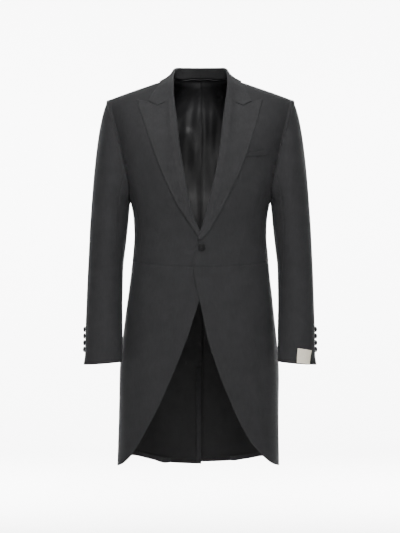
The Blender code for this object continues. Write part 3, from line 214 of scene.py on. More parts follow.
SLEEVE = table(SleeveRing, (
    (-0.72, 0.1918, 0.2898, -0.109, -0.017), (-0.7, 0.1914, 0.287, -0.108, -0.016),
    (-0.685, 0.191, 0.2848, -0.105, -0.014), (-0.655, 0.1912, 0.284, -0.099, -0.006),
    (-0.61, 0.192, 0.2842, -0.088, 0.014), (-0.56, 0.1933, 0.2834, -0.076, 0.034),
    (-0.51, 0.1932, 0.2825, -0.066, 0.05), (-0.46, 0.1921, 0.2808, -0.06, 0.062),
    (-0.41, 0.1865, 0.2786, -0.058, 0.071), (-0.36, 0.1813, 0.2768, -0.058, 0.078),
    (-0.312, 0.1768, 0.274, -0.058, 0.082),
))
HEAD_FLOW = table(HeadFlow, (
    (0, 0.0244, 0.0, 0.03), (45, 0.024, 0.014, 0.034), (90, 0.018, 0.014, 0.04),
    (135, 0.01, 0.006, 0.022), (180, 0.001, 0.0, 0.006), (225, 0.01, -0.008, 0.022),
    (270, 0.02, -0.016, 0.04), (315, 0.024, -0.014, 0.034), (360, 0.0244, 0.0, 0.03),
))
HEAD_END_Z, HEAD_RISE, HEAD_LEAN = -0.312, 0.33, -0.0062
HEAD_TOP_Z, UNDERARM_SPREAD, SLEEVE_SWAY = -0.05, (90, 45), 0.35
CUFF_Z, CUFF_TILT = -0.6993, 0.0035
FRONT_SEAM_TOP, FRONT_SEAM_CUFF = 120.0, 180.0
HIND_SEAM_TOP, HIND_SEAM_CUFF = -105.0, -8.0
TWIST_FROM_Z, TWIST_TO_Z = -0.34, -0.640

LAPEL_EDGE = {
    1: table(ViewPoint, (
        (0.001, -0.3965), (0.017, -0.3805), (0.0373, -0.348), (0.0616, -0.3035),
        (0.0896, -0.2447), (0.1151, -0.18), (0.132, -0.1286), (0.1397, -0.101), (0.1479, -0.0704),
        (0.1547, -0.0484),
    )),
    -1: table(ViewPoint, (
        (-0.0052, -0.39), (-0.0217, -0.365), (-0.0512, -0.32), (-0.0818, -0.2587),
        (-0.1043, -0.2054), (-0.1301, -0.1317), (-0.1426, -0.0947), (-0.1517, -0.0724),
        (-0.1587, -0.0491),
    )),
}
LAPEL_FOOT_Z = {1: -0.394, -1: -0.386}
GORGE_TOP_Z = -0.0446
NOTCH_IN = ViewPoint(0.1055, -0.0672)
NOTCH_OUT = ViewPoint(0.1297, -0.056)
GORGE_GAP = 0.2
ROLL_RADIUS = 0.0033
FOLD_START, FOLD_START_AT_FOOT = -70, 20
ROLL_SPRING, ROLL_SPRING_REACH = 0.0022, 0.030

CREST = table(Crest, (
    (0.0, 0.0835, 0.0444), (0.025, 0.082, 0.0444), (0.045, 0.0755, 0.044),
    (0.058, 0.06, 0.0425), (0.0645, 0.036, 0.037), (0.0668, 0.006, 0.0255),
    (0.0668, -0.021, 0.0085), (0.0662, -0.048, -0.011),
))
FALL_EDGE = table(FallPoint, (
    (0.0, -0.001, True), (0.035, -0.0012, True), (0.065, -0.003, True),
    (0.086, -0.0058, True), (0.0975, -0.0048, True), (0.1015, -0.0075, False),
    (0.1172, -0.032, False), (0.1285, -0.0538, False),
))
FALL_BULGE = 0.0020
STAND_INSET, STAND_LIFT, COLLAR_EASE = 0.0024, 0.0006, 0.0021
STAND_ROWS = (0.0122, 0.0172)

LINING_HEM_RISE, LINING_MARGIN = 0.012, 0.003
LINING_SEAM_X, LINING_SEAM_GAP = 0.004, 0.0005
FACING_INNER_X, FACING_TOP_Z = -0.0102, -0.723
LINING_SIDE = table(LevelPoint, (
    (98, -0.936), (100, -0.7), (104, -0.45), (112, -0.34), (124, -0.26),
))


def through(places: Any, values: Any, at: Any) -> Array:
    """Reads the smooth curve through (places, values); a slope is the weighted mean of its neighbours'.

    Args:
        places: rising places of the known values.
        values: the known values.
        at: places to read.

    Returns:
        Values of the cubic pieces at those places, held at both ends.
    """
    places, values, at = (np.asarray(v, float) for v in (places, values, at))
    step = np.diff(places)
    slope = np.diff(values) / step
    tangent = np.concatenate(([slope[0]], np.zeros(len(places) - 2), [slope[-1]]))
    tangent[1:-1] = (slope[:-1] * step[1:] + slope[1:] * step[:-1]) / (step[1:] + step[:-1])
    i = np.clip(np.searchsorted(places, at, side="right") - 1, 0, len(places) - 2)
    t = np.clip((at - places[i]) / step[i], 0, 1)
    start = values[i] * (1 + 2 * t) * (1 - t) ** 2 + step[i] * tangent[i] * t * (1 - t) ** 2
    end = values[i + 1] * t * t * (3 - 2 * t) - step[i] * tangent[i + 1] * t * t * (1 - t)
    return start + end


def column(rows: Sequence[Any], key: str, name: str, at: Any) -> Array:
    """Reads one named column of a table at places along another, as a smooth curve."""
    rows = sorted(rows, key=lambda row: getattr(row, key))
    return through([getattr(row, key) for row in rows], [getattr(row, name) for row in rows], at)


def smooth_step(value: Any, start: float, end: float) -> Array:
    """0 at start, 1 at end, and 3t^2 - 2t^3 between."""
    t = np.clip((np.asarray(value, float) - start) / (end - start), 0, 1)
    return t * t * (3 - 2 * t)


def hill(distance: Any, reach: float) -> Array:
    """Bell curve exp(-(distance / reach)^2)."""
    return np.exp(-(np.asarray(distance, float) / reach) ** 2)


def unit(vectors: Array) -> Array:
    """Vectors scaled to length 1."""
    return vectors / np.maximum(np.linalg.norm(vectors, axis=-1, keepdims=True), 1e-12)


def run_of(points: Array) -> Array:
    """Share of its whole length that a polyline has run at each of its points."""
    lengths = np.concatenate(([0], np.cumsum(np.linalg.norm(np.diff(points, axis=0), axis=1))))
    return lengths / lengths[-1]


def smooth_line(points: Any, shares: Array) -> Array:
    """Points at the given shares of length along the smooth curve through a few points.

    Args:
        points: a few points to pass through.
        shares: shares of the length, 0 to 1.

    Returns:
        Points of the curve.
    """
    points = np.asarray(points, float)
    run = run_of(points)
    fine = np.linspace(0, 1, 600)
    curve = np.stack([through(run, points[:, k], fine) for k in range(points.shape[1])], axis=1)
    fine_run = run_of(curve)
    return np.stack([np.interp(shares, fine_run, curve[:, k]) for k in range(points.shape[1])], axis=1)


def graded(length: float, cell: float, first: bool = True, last: bool = True) -> Array:
    """Shares of a length in even cells, with narrow ones at an end where an edge rolls.

    Args:
        length: length of cloth to divide.
        cell: width of an even cell.
        first: whether the beginning has narrow cells.
        last: whether the end has them.

    Returns:
        Rising shares from 0 to 1.
    """
    steps = np.array(EDGE_STEPS)
    head = steps if first else steps[:1]
    tail = steps if last else steps[:1]
    inside = length - head[-1] - tail[-1]
    even = np.linspace(head[-1], length - tail[-1], max(2, round(inside / cell)) + 1)
    return np.concatenate([head[:-1], even, (length - tail[:-1])[::-1]]) / length


def blend_edges(bottom: Array, top: Array, start: Array, end: Array, reach: float = 0.45) -> Array:
    """Fills four edges with a grid: rows ruled between the sides, bent to bottom and top near those edges.

    Args:
        bottom: places of the lowest row.
        top: places of the highest row.
        start: places of the first column.
        end: places of the last column.
        reach: share of the height over which the shape of bottom and top fades.

    Returns:
        Grid of places, a row for each place of start.
    """
    u_bottom, u_top = run_of(bottom)[None], run_of(top)[None]
    v = ((run_of(start) + run_of(end)) / 2)[:, None]
    u = (u_bottom * (1 - v) + u_top * v)[..., None]
    ruled = start[:, None] * (1 - u) + end[:, None] * u
    off_bottom = bottom - start[0] * (1 - u_bottom[0, :, None]) - end[0] * u_bottom[0, :, None]
    off_top = top - start[-1] * (1 - u_top[0, :, None]) - end[-1] * u_top[0, :, None]
    near_bottom = smooth_step(v, reach, 0)[..., None]
    near_top = smooth_step(1 - v, reach, 0)[..., None]
    return ruled + off_bottom[None] * near_bottom + off_top[None] * near_top


def grid_normals(points: Array, outward: Array) -> Array:
    """Normals of a grid from its own neighbours, on the side of a given direction."""
    normals = unit(np.cross(np.gradient(points, axis=1), np.gradient(points, axis=0)))
    return normals * np.sign(np.sum(normals * outward, axis=-1).mean())


@dataclass(frozen=True)
class BodyForm:
    """Hollow worn form of the body: level super-ellipse rings, rounded over under the shoulder ridge."""

    squareness: float = 2.4
    middle_y: float = 0.010
    metres_per_degree: float = 0.0029
    neck_rounding: tuple[float, float] = (0.200, 0.120)
    neck_ease: tuple[float, float] = (1.48, 1.25)
    shoulder_rounding: float = 0.130
    padded_from: float = 0.080
    padded_to: float = 0.200
    sway_top: float = -0.450
    sway_bottom: float = -0.957
    sway_most: float = -0.0055

    @property
    def girth(self) -> float:
        """Whole way round, in the measure of places."""
        return 360 * self.metres_per_degree

    def sway(self, z: Array) -> Array:
        """How far the hanging skirts lean to the wearer's right at a height."""
        return self.sway_most * np.clip((self.sway_top - z) / (self.sway_top - self.sway_bottom), 0, 2)

    def rounding(self, x: Array, back: Array) -> tuple[Array, Array]:
        """Height over which the form rounds off under the ridge, and how gently it starts.

        Args:
            x: distances from the middle, in metres.
            back: whether it is behind.

        Returns:
            The height and the exponent of the depth.
        """
        padded = smooth_step(np.abs(x), self.padded_from, self.padded_to)
        height = np.where(back, self.neck_rounding[1], self.neck_rounding[0])
        ease = np.where(back, self.neck_ease[1], self.neck_ease[0])
        return height + (self.shoulder_rounding - height) * padded, ease + (1 - ease) * padded

    def reach(self, sine: Array, cosine: Array) -> Array:
        """Radius of the super-ellipse in a direction: (|sine|^n + |cosine|^n)^(-1/n)."""
        n = self.squareness
        return (np.abs(sine) ** n + np.abs(cosine) ** n) ** (-1 / n)

    def depth(self, back: Array, z: Array) -> Array:
        """Depth of the front or back half of the ring at a height."""
        return np.where(back, column(RINGS, "z", "back_depth", z), column(RINGS, "z", "front_depth", z))

    def point(self, places: Array) -> Array:
        """Point at a place: girth round from the front's middle, and drop down the cloth from the ridge.

        Args:
            places: array of (girth, drop) pairs.

        Returns:
            Points x, y, z; the height is solved by repeating z = ridge - rounded part - straight part.
        """
        girth, drop = places[..., 0], places[..., 1]
        angle = np.radians(girth / self.metres_per_degree)
        sine, cosine = np.sin(angle), np.cos(angle)
        reach = self.reach(sine, cosine)
        back = cosine < 0
        z = -drop
        for _ in range(12):
            x = column(RINGS, "z", "half_width", z) * sine * reach
            height, ease = self.rounding(x, back)
            turn = np.clip(drop / height, 0, math.pi / 2)
            ridge = column(SHOULDER, "x", "z", np.abs(x))
            z = ridge - height * (1 - np.cos(turn)) - np.maximum(drop - height * math.pi / 2, 0)
        y = self.middle_y - self.depth(back, z) * cosine * reach * np.sin(turn) ** ease
        return np.stack([x + self.sway(z), y, z], axis=-1)

    def place(self, x: Any, z: Any, back: bool = False) -> Array:
        """The place of the point of the front or back that shows at x, z.

        Args:
            x: distances from the middle as they show.
            z: heights in metres.
            back: whether it is behind.

        Returns:
            Array of (girth, drop) pairs.
        """
        x, z = np.broadcast_arrays(np.asarray(x, float), np.asarray(z, float))
        x = x - self.sway(z)
        sine = np.clip(np.abs(x) / column(RINGS, "z", "half_width", z), 0, 1)
        cosine = (1 - sine ** self.squareness) ** (1 / self.squareness)
        angle = np.degrees(np.arctan2(sine, -cosine if back else cosine)) * np.where(x < 0, -1, 1)
        return np.stack([angle * self.metres_per_degree, self.drop_at(x, z, np.asarray(back))], axis=-1)

    def drop_at(self, x: Array, z: Array, back: Array) -> Array:
        """Length of cloth from the ridge down to a height: an arc over the rounding, then straight.

        Args:
            x: distances from the middle, in metres.
            z: heights in metres.
            back: whether it is behind.

        Returns:
            Drops in metres.
        """
        height, _ = self.rounding(x, back)
        part = np.maximum(column(SHOULDER, "x", "z", np.abs(x)) - z, 0) / height
        return height * np.where(part < 1, np.arccos(np.clip(1 - part, 0, 1)), math.pi / 2 + part - 1)

    def level(self, angle: Any, z: Any) -> Array:
        """The place of the point at a height and an angle, below the shoulders.

        Args:
            angle: angles from the front's middle in degrees.
            z: heights in metres.

        Returns:
            Array of (girth, drop) pairs.
        """
        sine, cosine = np.sin(np.radians(angle)), np.cos(np.radians(angle))
        x = column(RINGS, "z", "half_width", z) * sine * self.reach(sine, cosine)
        girth = np.broadcast_to(np.asarray(angle, float), x.shape) * self.metres_per_degree
        return np.stack([girth, self.drop_at(x, np.asarray(z, float), cosine < 0)], axis=-1)

    def measure(self, points: Array) -> Array:
        """Zero on the form and rising outwards: the ring's equation, shrunk under the ridge.

        Args:
            points: points in metres.

        Returns:
            Values of the measure.
        """
        x, y, z = points[..., 0] - self.sway(points[..., 2]), points[..., 1] - self.middle_y, points[..., 2]
        back = y > 0
        height, ease = self.rounding(x, back)
        part = np.clip((column(SHOULDER, "x", "z", np.abs(x)) - z) / height, 1e-5, 1)
        shrink = (1 - (1 - part) ** 2) ** (ease * self.squareness / 2)
        across = (np.abs(x) / column(RINGS, "z", "half_width", z)) ** self.squareness - 1
        return across * shrink + (np.abs(y) / self.depth(back, z)) ** self.squareness

    def normal(self, points: Array) -> Array:
        """Outward normals: the gradient of the measure, by central differences.

        Args:
            points: points in metres.

        Returns:
            Unit vectors.
        """
        small = 0.0004
        shifts = np.eye(3) * small
        slopes = [self.measure(points + s) - self.measure(points - s) for s in shifts]
        return unit(np.stack(slopes, axis=-1))

    def height_over(self, x: Array, y: Array) -> Array:
        """Height of the form over the shoulders, above a point seen from the top.

        Args:
            x: distances from the middle, in metres.
            y: depths in metres.

        Returns:
            Heights in metres.
        """
        back = y > self.middle_y
        height, ease = self.rounding(x, back)
        ridge = column(SHOULDER, "x", "z", np.abs(x))
        z = ridge
        for _ in range(5):
            across = np.clip(np.abs(x) / column(RINGS, "z", "half_width", z), 0, 1)
            depth = self.depth(back, z) * (1 - across ** self.squareness) ** (1 / self.squareness)
            share = np.clip(np.abs(y - self.middle_y) / np.maximum(depth, 1e-6), 0, 0.999) ** (1 / ease)
            z = ridge - height * (1 - np.sqrt(1 - share ** 2))
        return z

    def lift_clear(self, points: Array, clearance: Array) -> Array:
        """Moves points off the shoulders until they stand at least a clearance above them.

        Args:
            points: points in metres.
            clearance: least height to stand above the form.

        Returns:
            The moved points.
        """
        small = 0.0008
        for _ in range(4):
            x, y = points[..., 0], points[..., 1]
            slope_x = (self.height_over(x + small, y) - self.height_over(x - small, y)) / (2 * small)
            slope_y = (self.height_over(x, y + small) - self.height_over(x, y - small)) / (2 * small)
            normal = unit(np.stack([-slope_x, -slope_y, np.ones_like(x)], axis=-1))
            height = (points[..., 2] - self.height_over(x, y)) * normal[..., 2]
            points = points + normal * np.maximum(clearance - height, 0)[..., None]
        return points


FORM = BodyForm()


class View(Enum):
    """From where a fold's ends are measured."""
    FRONT = "front"
    BACK = "back"
    SIDE = "side"


class Fold(NamedTuple):
    """A soft ridge, or a trough where its height is negative. On a side or a sleeve, x is an angle."""
    view: View
    x: float
    z: float
    end_x: float
    end_z: float
    width: float
    height: float
    bow: float


FOLD_FROM, FOLD_DEEPEST, FOLD_TO = -0.12, 0.55, 1.12
BESIDE_SHARE, BESIDE_AT, BESIDE_WIDTH = 0.42, 1.8, 1.5


def seen_from(view: View, rows: Sequence[tuple[float, ...]]) -> tuple[Fold, ...]:
    """The folds seen from one side."""
    return table(Fold, [(view, *row) for row in rows])


def relief(spots: Array, starts: Array, ends: Array, folds: Sequence[Fold]) -> Array:
    """Height of the folds over a grid.

    A fold follows a bowed line from start to end. Across it, its height is a bell with a shallower bell of
    the other sign beside it; along it, it fades in and out, deepest past the middle.

    Args:
        spots: grid of flat coordinates in metres.
        starts: flat coordinates of the folds' starts.
        ends: flat coordinates of their ends.
        folds: the folds, for width, height and bow.

    Returns:
        Grid of heights in metres.
    """
    total = np.zeros(spots.shape[:-1])
    for start, end, fold in zip(starts, ends, folds):
        length = float(np.linalg.norm(end - start))
        along = (end - start) / length
        t = (spots - start) @ along / length
        inside = np.clip(t, 0, 1)
        across = (spots - start) @ np.array([-along[1], along[0]]) - fold.bow * 4 * inside * (1 - inside)
        fade = smooth_step(t, FOLD_FROM, FOLD_DEEPEST) * smooth_step(t, FOLD_TO, FOLD_DEEPEST)
        beside = hill(across - BESIDE_AT * fold.width, BESIDE_WIDTH * fold.width)
        profile = hill(across, fold.width) - BESIDE_SHARE * beside
        total = total + fold.height * fade * profile
    return total


@dataclass(frozen=True)
class Pattern:
    """Seam and edge lines of one half of the coat, as places on the body form."""

    side: int

    @property
    def hand(self) -> str:
        """Name of the table column of this half."""
        return "left" if self.side > 0 else "right"

    def edge(self, rows: Sequence[EdgePoint]) -> list[Array]:
        """An edge of the front as places, in the order of the table."""
        return [FORM.place(getattr(row, self.hand), row.z) for row in rows]

    def along(self, places: Any, shares: Array) -> Array:
        """Places at shares of the length of cloth along a line of places."""
        fine = smooth_line(places, np.linspace(0, 1, 500))
        return self.even(fine, shares)

    @staticmethod
    def even(places: Array, shares: Array) -> Array:
        """Places at shares of the length of cloth along a finely drawn line."""
        run = run_of(FORM.point(places))
        return np.stack([np.interp(shares, run, places[:, k]) for k in (0, 1)], axis=-1)

    @staticmethod
    def length(places: Array) -> float:
        """Length of cloth along a line of places."""
        return float(np.linalg.norm(np.diff(FORM.point(places), axis=0), axis=1).sum())

    def armhole(self, turns: Any) -> Array:
        """Places of the armhole: turn 0 is the shoulder point, 90 the front, 180 the underarm.

        Args:
            turns: turns round the armhole in degrees.

        Returns:
            Array of (girth, drop) pairs.
        """
        turns = np.asarray(turns, float)
        ridge = FORM.place(SHOULDER_POINT_X, column(SHOULDER, "x", "z", SHOULDER_POINT_X))
        underarm = FORM.level(90.0, UNDERARM_Z)
        found = []
        for rows, back in ((ARMHOLE_FRONT, False), (ARMHOLE_BACK, True)):
            start = np.array([FORM.girth / 2 - ridge[0] if back else ridge[0], 0.0])
            points = [start] + [FORM.place(p.x, p.z, back) for p in rows] + [underarm]
            share = np.where(turns <= 180, turns, 360 - turns) / 180
            found.append(self.along(points, share.ravel()).reshape(share.shape + (2,)))
        return np.where((turns <= 180)[..., None], found[0], found[1]) * (self.side, 1)

    def hem_z(self, angle: Any) -> Array:
        """Height of the hem behind the side, at an angle."""
        return column(HEM, "angle", self.hand, angle)

    def side_seam(self, shares: Array) -> Array:
        """Seam between forepart and side body, waist to armhole."""
        points = [FORM.place(p.x * self.side, p.z) for p in SIDE_SEAM] + [self.armhole(SIDE_SEAM_TURN)]
        return self.along(points, shares)

    def back_seam_body(self, shares: Array) -> Array:
        """Seam between side body and back, waist to armhole."""
        points = [FORM.place(p.x * self.side, p.z, back=True) for p in BACK_SEAM_BODY]
        return self.along(points + [self.armhole(BACK_SEAM_TURN)], shares)

    def back_seam_skirt(self, shares: Array) -> Array:
        """Seam between skirt and back, hem to waist.

        Args:
            shares: shares of the length, 0 to 1.

        Returns:
            Array of (girth, drop) pairs.
        """
        foot, *others = BACK_SEAM_SKIRT
        angle = FORM.place(foot.x * self.side, foot.z, back=True)[0] / FORM.metres_per_degree
        points = [FORM.level(angle, self.hem_z(abs(angle)))]
        points += [FORM.place(p.x * self.side, p.z, back=True) for p in others]
        return self.along(points, shares)

    def waist(self, start: Array, end: Array, shares: Array) -> Array:
        """Waist seam between two places of one half."""
        angles = (start[0] + (end[0] - start[0]) * shares) / FORM.metres_per_degree
        return FORM.level(angles, column(WAIST, "angle", "z", angles * self.side))

    def hem(self, start: Array, end: Array, shares: Array, rise: float = 0.0) -> Array:
        """Hem behind the side between two places."""
        angles = (start[0] + (end[0] - start[0]) * shares) / FORM.metres_per_degree
        return FORM.level(angles, self.hem_z(180 - np.abs(180 - np.abs(angles))) + rise)

    def centre(self, xs: Any, zs: Any) -> Array:
        """Places along the centre back, kept on this half's side of the girth past the middle.

        Args:
            xs: distances from the middle, in metres.
            zs: heights in metres.

        Returns:
            Array of (girth, drop) pairs.
        """
        places = FORM.place(xs, zs, back=True)
        wrapped = places[..., 0] * self.side < 0
        places[..., 0] = np.where(wrapped, places[..., 0] + FORM.girth * self.side, places[..., 0])
        return places

    def roll(self, zs: Array) -> Array:
        """Places of the fold of the lapel at heights."""
        return FORM.place(column(FRONT_EDGE, "z", self.hand, zs), zs)

    def neck(self, shares: Array) -> Array:
        """Neckline from the centre back over the neck point, at its share, to the roll line.

        Args:
            shares: shares of the length, 0 to 1.

        Returns:
            Array of (girth, drop) pairs.
        """
        steps = np.linspace(0, 1, 50)
        behind = smooth_line(self.centre(*(np.array(NECK_BACK) * (self.side, 1)).T), steps)
        bend = FORM.place(NECK_SEAM_BEND.x * self.side, NECK_SEAM_BEND.z)
        neck_point = FORM.place(NECK_POINT_X * self.side, ABOVE_RIDGE)
        front = smooth_line([neck_point, bend, self.roll(np.array([GORGE_TOP_Z]))[0]], steps)
        shares = np.asarray(shares, float)
        first = np.clip(shares / NECK_BACK_SHARE, 0, 1)
        second = np.clip((shares - NECK_BACK_SHARE) / (1 - NECK_BACK_SHARE), 0, 1)
        on_back = np.stack([np.interp(first, steps, behind[:, k]) for k in (0, 1)], axis=-1)
        on_front = np.stack([np.interp(second, steps, front[:, k]) for k in (0, 1)], axis=-1)
        return np.where(shares[:, None] <= NECK_BACK_SHARE, on_back, on_front)

    def under_lap(self, points: Array) -> Array:
        """How far the right front and the right back are set in where the left ones lap over them.

        Args:
            points: points in metres.

        Returns:
            Distances in metres.
        """
        if self.side > 0:
            return np.zeros(points.shape[:-1])
        x, z = points[..., 0], points[..., 2]
        lap = BODY_WALL + LAP_CLEARANCE
        lapels = LAPEL_WALL + LAPEL_CLEARANCE
        crossing = smooth_step(z, *UNDER_LAPEL_FROM) * smooth_step(z, *UNDER_LAPEL_TO)
        below = smooth_step(z, *FRONT_LAP_FROM)
        deep = np.maximum(lap * smooth_step(z, *FRONT_LAP_TO) * below, (lap + lapels) * crossing)
        front = smooth_step(x, *FRONT_LAP_SIDE) * deep
        vent = smooth_step(z, VENT_TOP_Z + BACK_LAP_ABOVE_VENT[0], VENT_TOP_Z + BACK_LAP_ABOVE_VENT[1])
        back = lap * smooth_step(x, *BACK_LAP_SIDE) * vent
        return np.where(points[..., 1] > FORM.middle_y, back, front)

    def seat(self, places: Array, out: Any = 0.0) -> tuple[Array, Array]:
        """Points and normals at places, set in where a lap covers them and then moved out.

        Args:
            places: grid of places.
            out: distance to move out, in metres.

        Returns:
            Points and their normals.
        """
        points = FORM.point(places)
        normals = FORM.normal(points)
        return points + normals * (out - self.under_lap(points))[..., None], normals

    def spot(self, view: View, x: float, z: float) -> Array:
        """Place of a fold's end, given for the left half.

        Args:
            view: front, back or side.
            x: distances from the middle, in metres.
            z: heights in metres.

        Returns:
            One (girth, drop) pair.
        """
        if view is View.SIDE:
            return FORM.level(x * self.side, z)
        return FORM.place(x * self.side, z, view is View.BACK)


@dataclass(frozen=True)
class SleeveForm:
    """Sleeve of one half: travel 0 to 1 flows out of the armhole, 1 to 2 runs down to the cuff."""

    side: int
    metres_per_degree: float = 0.00079
    head_length: float = 0.262
    arm_length: float = 0.386

    def ring(self, turn: Array, z: Array) -> Array:
        """Level ellipse of the left sleeve: turn 0 is the outer side, 90 the front, 180 the inner side.

        Args:
            turn: turns round the sleeve in degrees.
            z: heights in metres.

        Returns:
            Points in metres.
        """
        inner, outer = column(SLEEVE, "z", "inner", z), column(SLEEVE, "z", "outer", z)
        front, back = column(SLEEVE, "z", "front", z), column(SLEEVE, "z", "back", z)
        x = (inner + outer) / 2 + (outer - inner) / 2 * np.cos(np.radians(turn))
        y = (front + back) / 2 - (back - front) / 2 * np.sin(np.radians(turn))
        return np.stack([x, y, np.broadcast_to(z, x.shape)], axis=-1)

    def point(self, turn: Array, travel: Array) -> Array:
        """Points: a cubic curve from the armhole into the first ring, then rings down to the cuff.

        Args:
            turn: turns round the sleeve in degrees.
            travel: travel down the sleeve, 0 to 2.

        Returns:
            Points in metres.
        """
        turn, travel = np.broadcast_arrays(np.asarray(turn, float), np.asarray(travel, float))
        around = np.mod(turn, 360)
        turns = np.linspace(0, 360, 181)
        seam = FORM.point(Pattern(1).armhole(turns))
        gap = UNDERARM_GAP * smooth_step(np.abs(turns - 180), *UNDERARM_SPREAD)
        seam = seam + FORM.normal(seam) * gap[:, None]
        p0 = np.stack([np.interp(around, turns, seam[:, k]) for k in range(3)], axis=-1)
        flow = [column(HEAD_FLOW, "turn", name, around) for name in ("out", "forward", "down")]
        p1 = p0 + np.stack([flow[0], -flow[1], -flow[2]], axis=-1)
        p3 = self.ring(turn, np.full(turn.shape, HEAD_END_Z))
        rise = HEAD_RISE * (p0[..., 2] - p3[..., 2])
        lean = HEAD_LEAN * (1 + np.cos(np.radians(turn))) / 2
        p2 = p3 + np.stack([lean, np.zeros_like(lean), rise], axis=-1)
        t = np.clip(travel, 0, 1)[..., None]
        head = p0 * (1 - t) ** 3 + 3 * p1 * t * (1 - t) ** 2 + 3 * p2 * t * t * (1 - t) + p3 * t ** 3
        z = HEAD_END_Z + (self.cuff_z(turn) - HEAD_END_Z) * np.clip(travel - 1, 0, 1.05)
        points = np.where(travel[..., None] <= 1, head, self.ring(turn, z))
        points[..., 0] = points[..., 0] * self.side + SLEEVE_SWAY * FORM.sway(points[..., 2])
        return points

    @staticmethod
    def cuff_z(turn: Any) -> Array:
        """Height of the cuff's edge, lower on the outer side."""
        return CUFF_Z - CUFF_TILT * np.cos(np.radians(turn))

    def travel_at(self, turn: Any, z: Any) -> Array:
        """Travel of the ring at a height below the head."""
        return 1 + (np.asarray(z, float) - HEAD_END_Z) / (self.cuff_z(turn) - HEAD_END_Z)

    def normal(self, turn: Array, travel: Array) -> Array:
        """Outward normals, across the slopes round and down.

        Args:
            turn: turns round the sleeve in degrees.
            travel: travel down the sleeve, 0 to 2.

        Returns:
            Unit vectors.
        """
        inside = np.clip(travel, 0.004, 1.996)
        around = self.point(turn + 0.5, inside) - self.point(turn - 0.5, inside)
        down = self.point(turn, inside + 0.004) - self.point(turn, inside - 0.004)
        return unit(np.cross(around, down)) * self.side

    @staticmethod
    def seams(travel: Array) -> tuple[Array, Array]:
        """Turns of the front and hind seams: they wind forwards towards the cuff.

        Args:
            travel: travel down the sleeve, 0 to 2.

        Returns:
            Turns of the two seams in degrees.
        """
        z = HEAD_END_Z + (CUFF_Z - HEAD_END_Z) * np.clip(travel - 1, 0, 1)
        wound = smooth_step(z, TWIST_FROM_Z, TWIST_TO_Z)
        front = FRONT_SEAM_TOP + (FRONT_SEAM_CUFF - FRONT_SEAM_TOP) * wound
        hind = HIND_SEAM_TOP + (HIND_SEAM_CUFF - HIND_SEAM_TOP) * wound
        return front, hind

    def flat(self, turn: Any, travel: Any) -> Array:
        """Flat coordinates in metres: round by the turn, and down by the length of cloth.

        Args:
            turn: turns round the sleeve in degrees.
            travel: travel down the sleeve, 0 to 2.

        Returns:
            Array of flat coordinate pairs.
        """
        turn, travel = np.broadcast_arrays(np.asarray(turn, float), np.asarray(travel, float))
        down = self.head_length * np.clip(travel, 0, 1) + self.arm_length * np.clip(travel - 1, 0, 1.05)
        return np.stack([turn * self.metres_per_degree, -down], axis=-1)


def armhole_directions(side: int, turns: Array) -> tuple[Array, Array, Array]:
    """Directions through the rims at the armhole for the walls of body and sleeve.

    They are the mean of the two normals where the cloths meet edge to edge, and each cloth's own normal
    where they turn back on one another under the arm.

    Args:
        side: 1 for the wearer's left, -1 for the right.
        turns: turns round the armhole in degrees.

    Returns:
        Directions for the body, directions for the sleeve, and how far the two agree, from 0 to 1.
    """
    of_body = FORM.normal(FORM.point(Pattern(side).armhole(turns)))
    of_sleeve = SleeveForm(side).normal(turns, np.zeros_like(turns))
    share = smooth_step(np.sum(of_body * of_sleeve, axis=-1, keepdims=True), -0.6, 0.0)
    return unit(of_body + of_sleeve * share), unit(of_sleeve + of_body * share), share[..., 0]


SHARP_ANGLE = math.radians(48)
THINNEST_EDGE = 0.03
AGREEMENT = (0.6, 1.0)


def lengths_to_edges(points: Array) -> dict[str, Array]:
    """Length of cloth from every point of a grid to its four edges, along its rows and columns.

    Args:
        points: points in metres.

    Returns:
        Lengths in metres, by edge.
    """
    rows, cols = points.shape[:2]
    across = np.linalg.norm(np.diff(points, axis=1), axis=-1)
    upward = np.linalg.norm(np.diff(points, axis=0), axis=-1)
    start = np.concatenate([np.zeros((rows, 1)), np.cumsum(across, axis=1)], axis=1)
    bottom = np.concatenate([np.zeros((1, cols)), np.cumsum(upward, axis=0)], axis=0)
    return {"start": start, "end": start[:, -1:] - start, "bottom": bottom, "top": bottom[-1:] - bottom}


def squares(index: Array) -> Array:
    """Faces of a grid of vertex numbers, four corners each."""
    corners = [index[:-1, :-1], index[:-1, 1:], index[1:, 1:], index[1:, :-1]]
    return np.stack(corners, axis=-1).reshape(-1, 4)


def measured_flat(points: Array) -> Array:
    """Flat coordinates of a grid: the lengths of cloth from its start and from its bottom."""
    away = lengths_to_edges(points)
    return np.stack([away["start"], away["bottom"]], axis=-1)


def put_mesh(name: str, vertices: Array, faces: Any, materials: Sequence[bpy.types.Material],
             flat: Array | None = None, slots: Array | None = None) -> bpy.types.Object:
    """Makes an object at the origin from vertices and faces.

    Args:
        name: name of the piece.
        vertices: points in metres.
        faces: index rows.
        materials: materials in the order of the slots.
        flat: flat coordinates of the vertices, kept as the UV map.
        slots: material slot of each face.

    Returns:
        The new object, linked to the scene and shaded smooth.
    """
    mesh = bpy.data.meshes.new(name)
    mesh.from_pydata(vertices.tolist(), [], faces.tolist() if hasattr(faces, "tolist") else faces)
    for material in materials:
        mesh.materials.append(material)
    if slots is not None:
        mesh.polygons.foreach_set("material_index", slots.astype(np.int32))
    corner = np.empty(len(mesh.loops), dtype=np.int32)
    mesh.loops.foreach_get("vertex_index", corner)
    layer = mesh.uv_layers.new(name="cloth")
    uv = vertices[:, (0, 2)] if flat is None else flat
    layer.data.foreach_set("uv", uv[corner].astype(np.float32).ravel())
    mesh.shade_smooth()
    mesh.set_sharp_from_angle(angle=SHARP_ANGLE)
    mesh.update()
    piece = bpy.data.objects.new(name, mesh)
    bpy.context.scene.collection.objects.link(piece)
    return piece


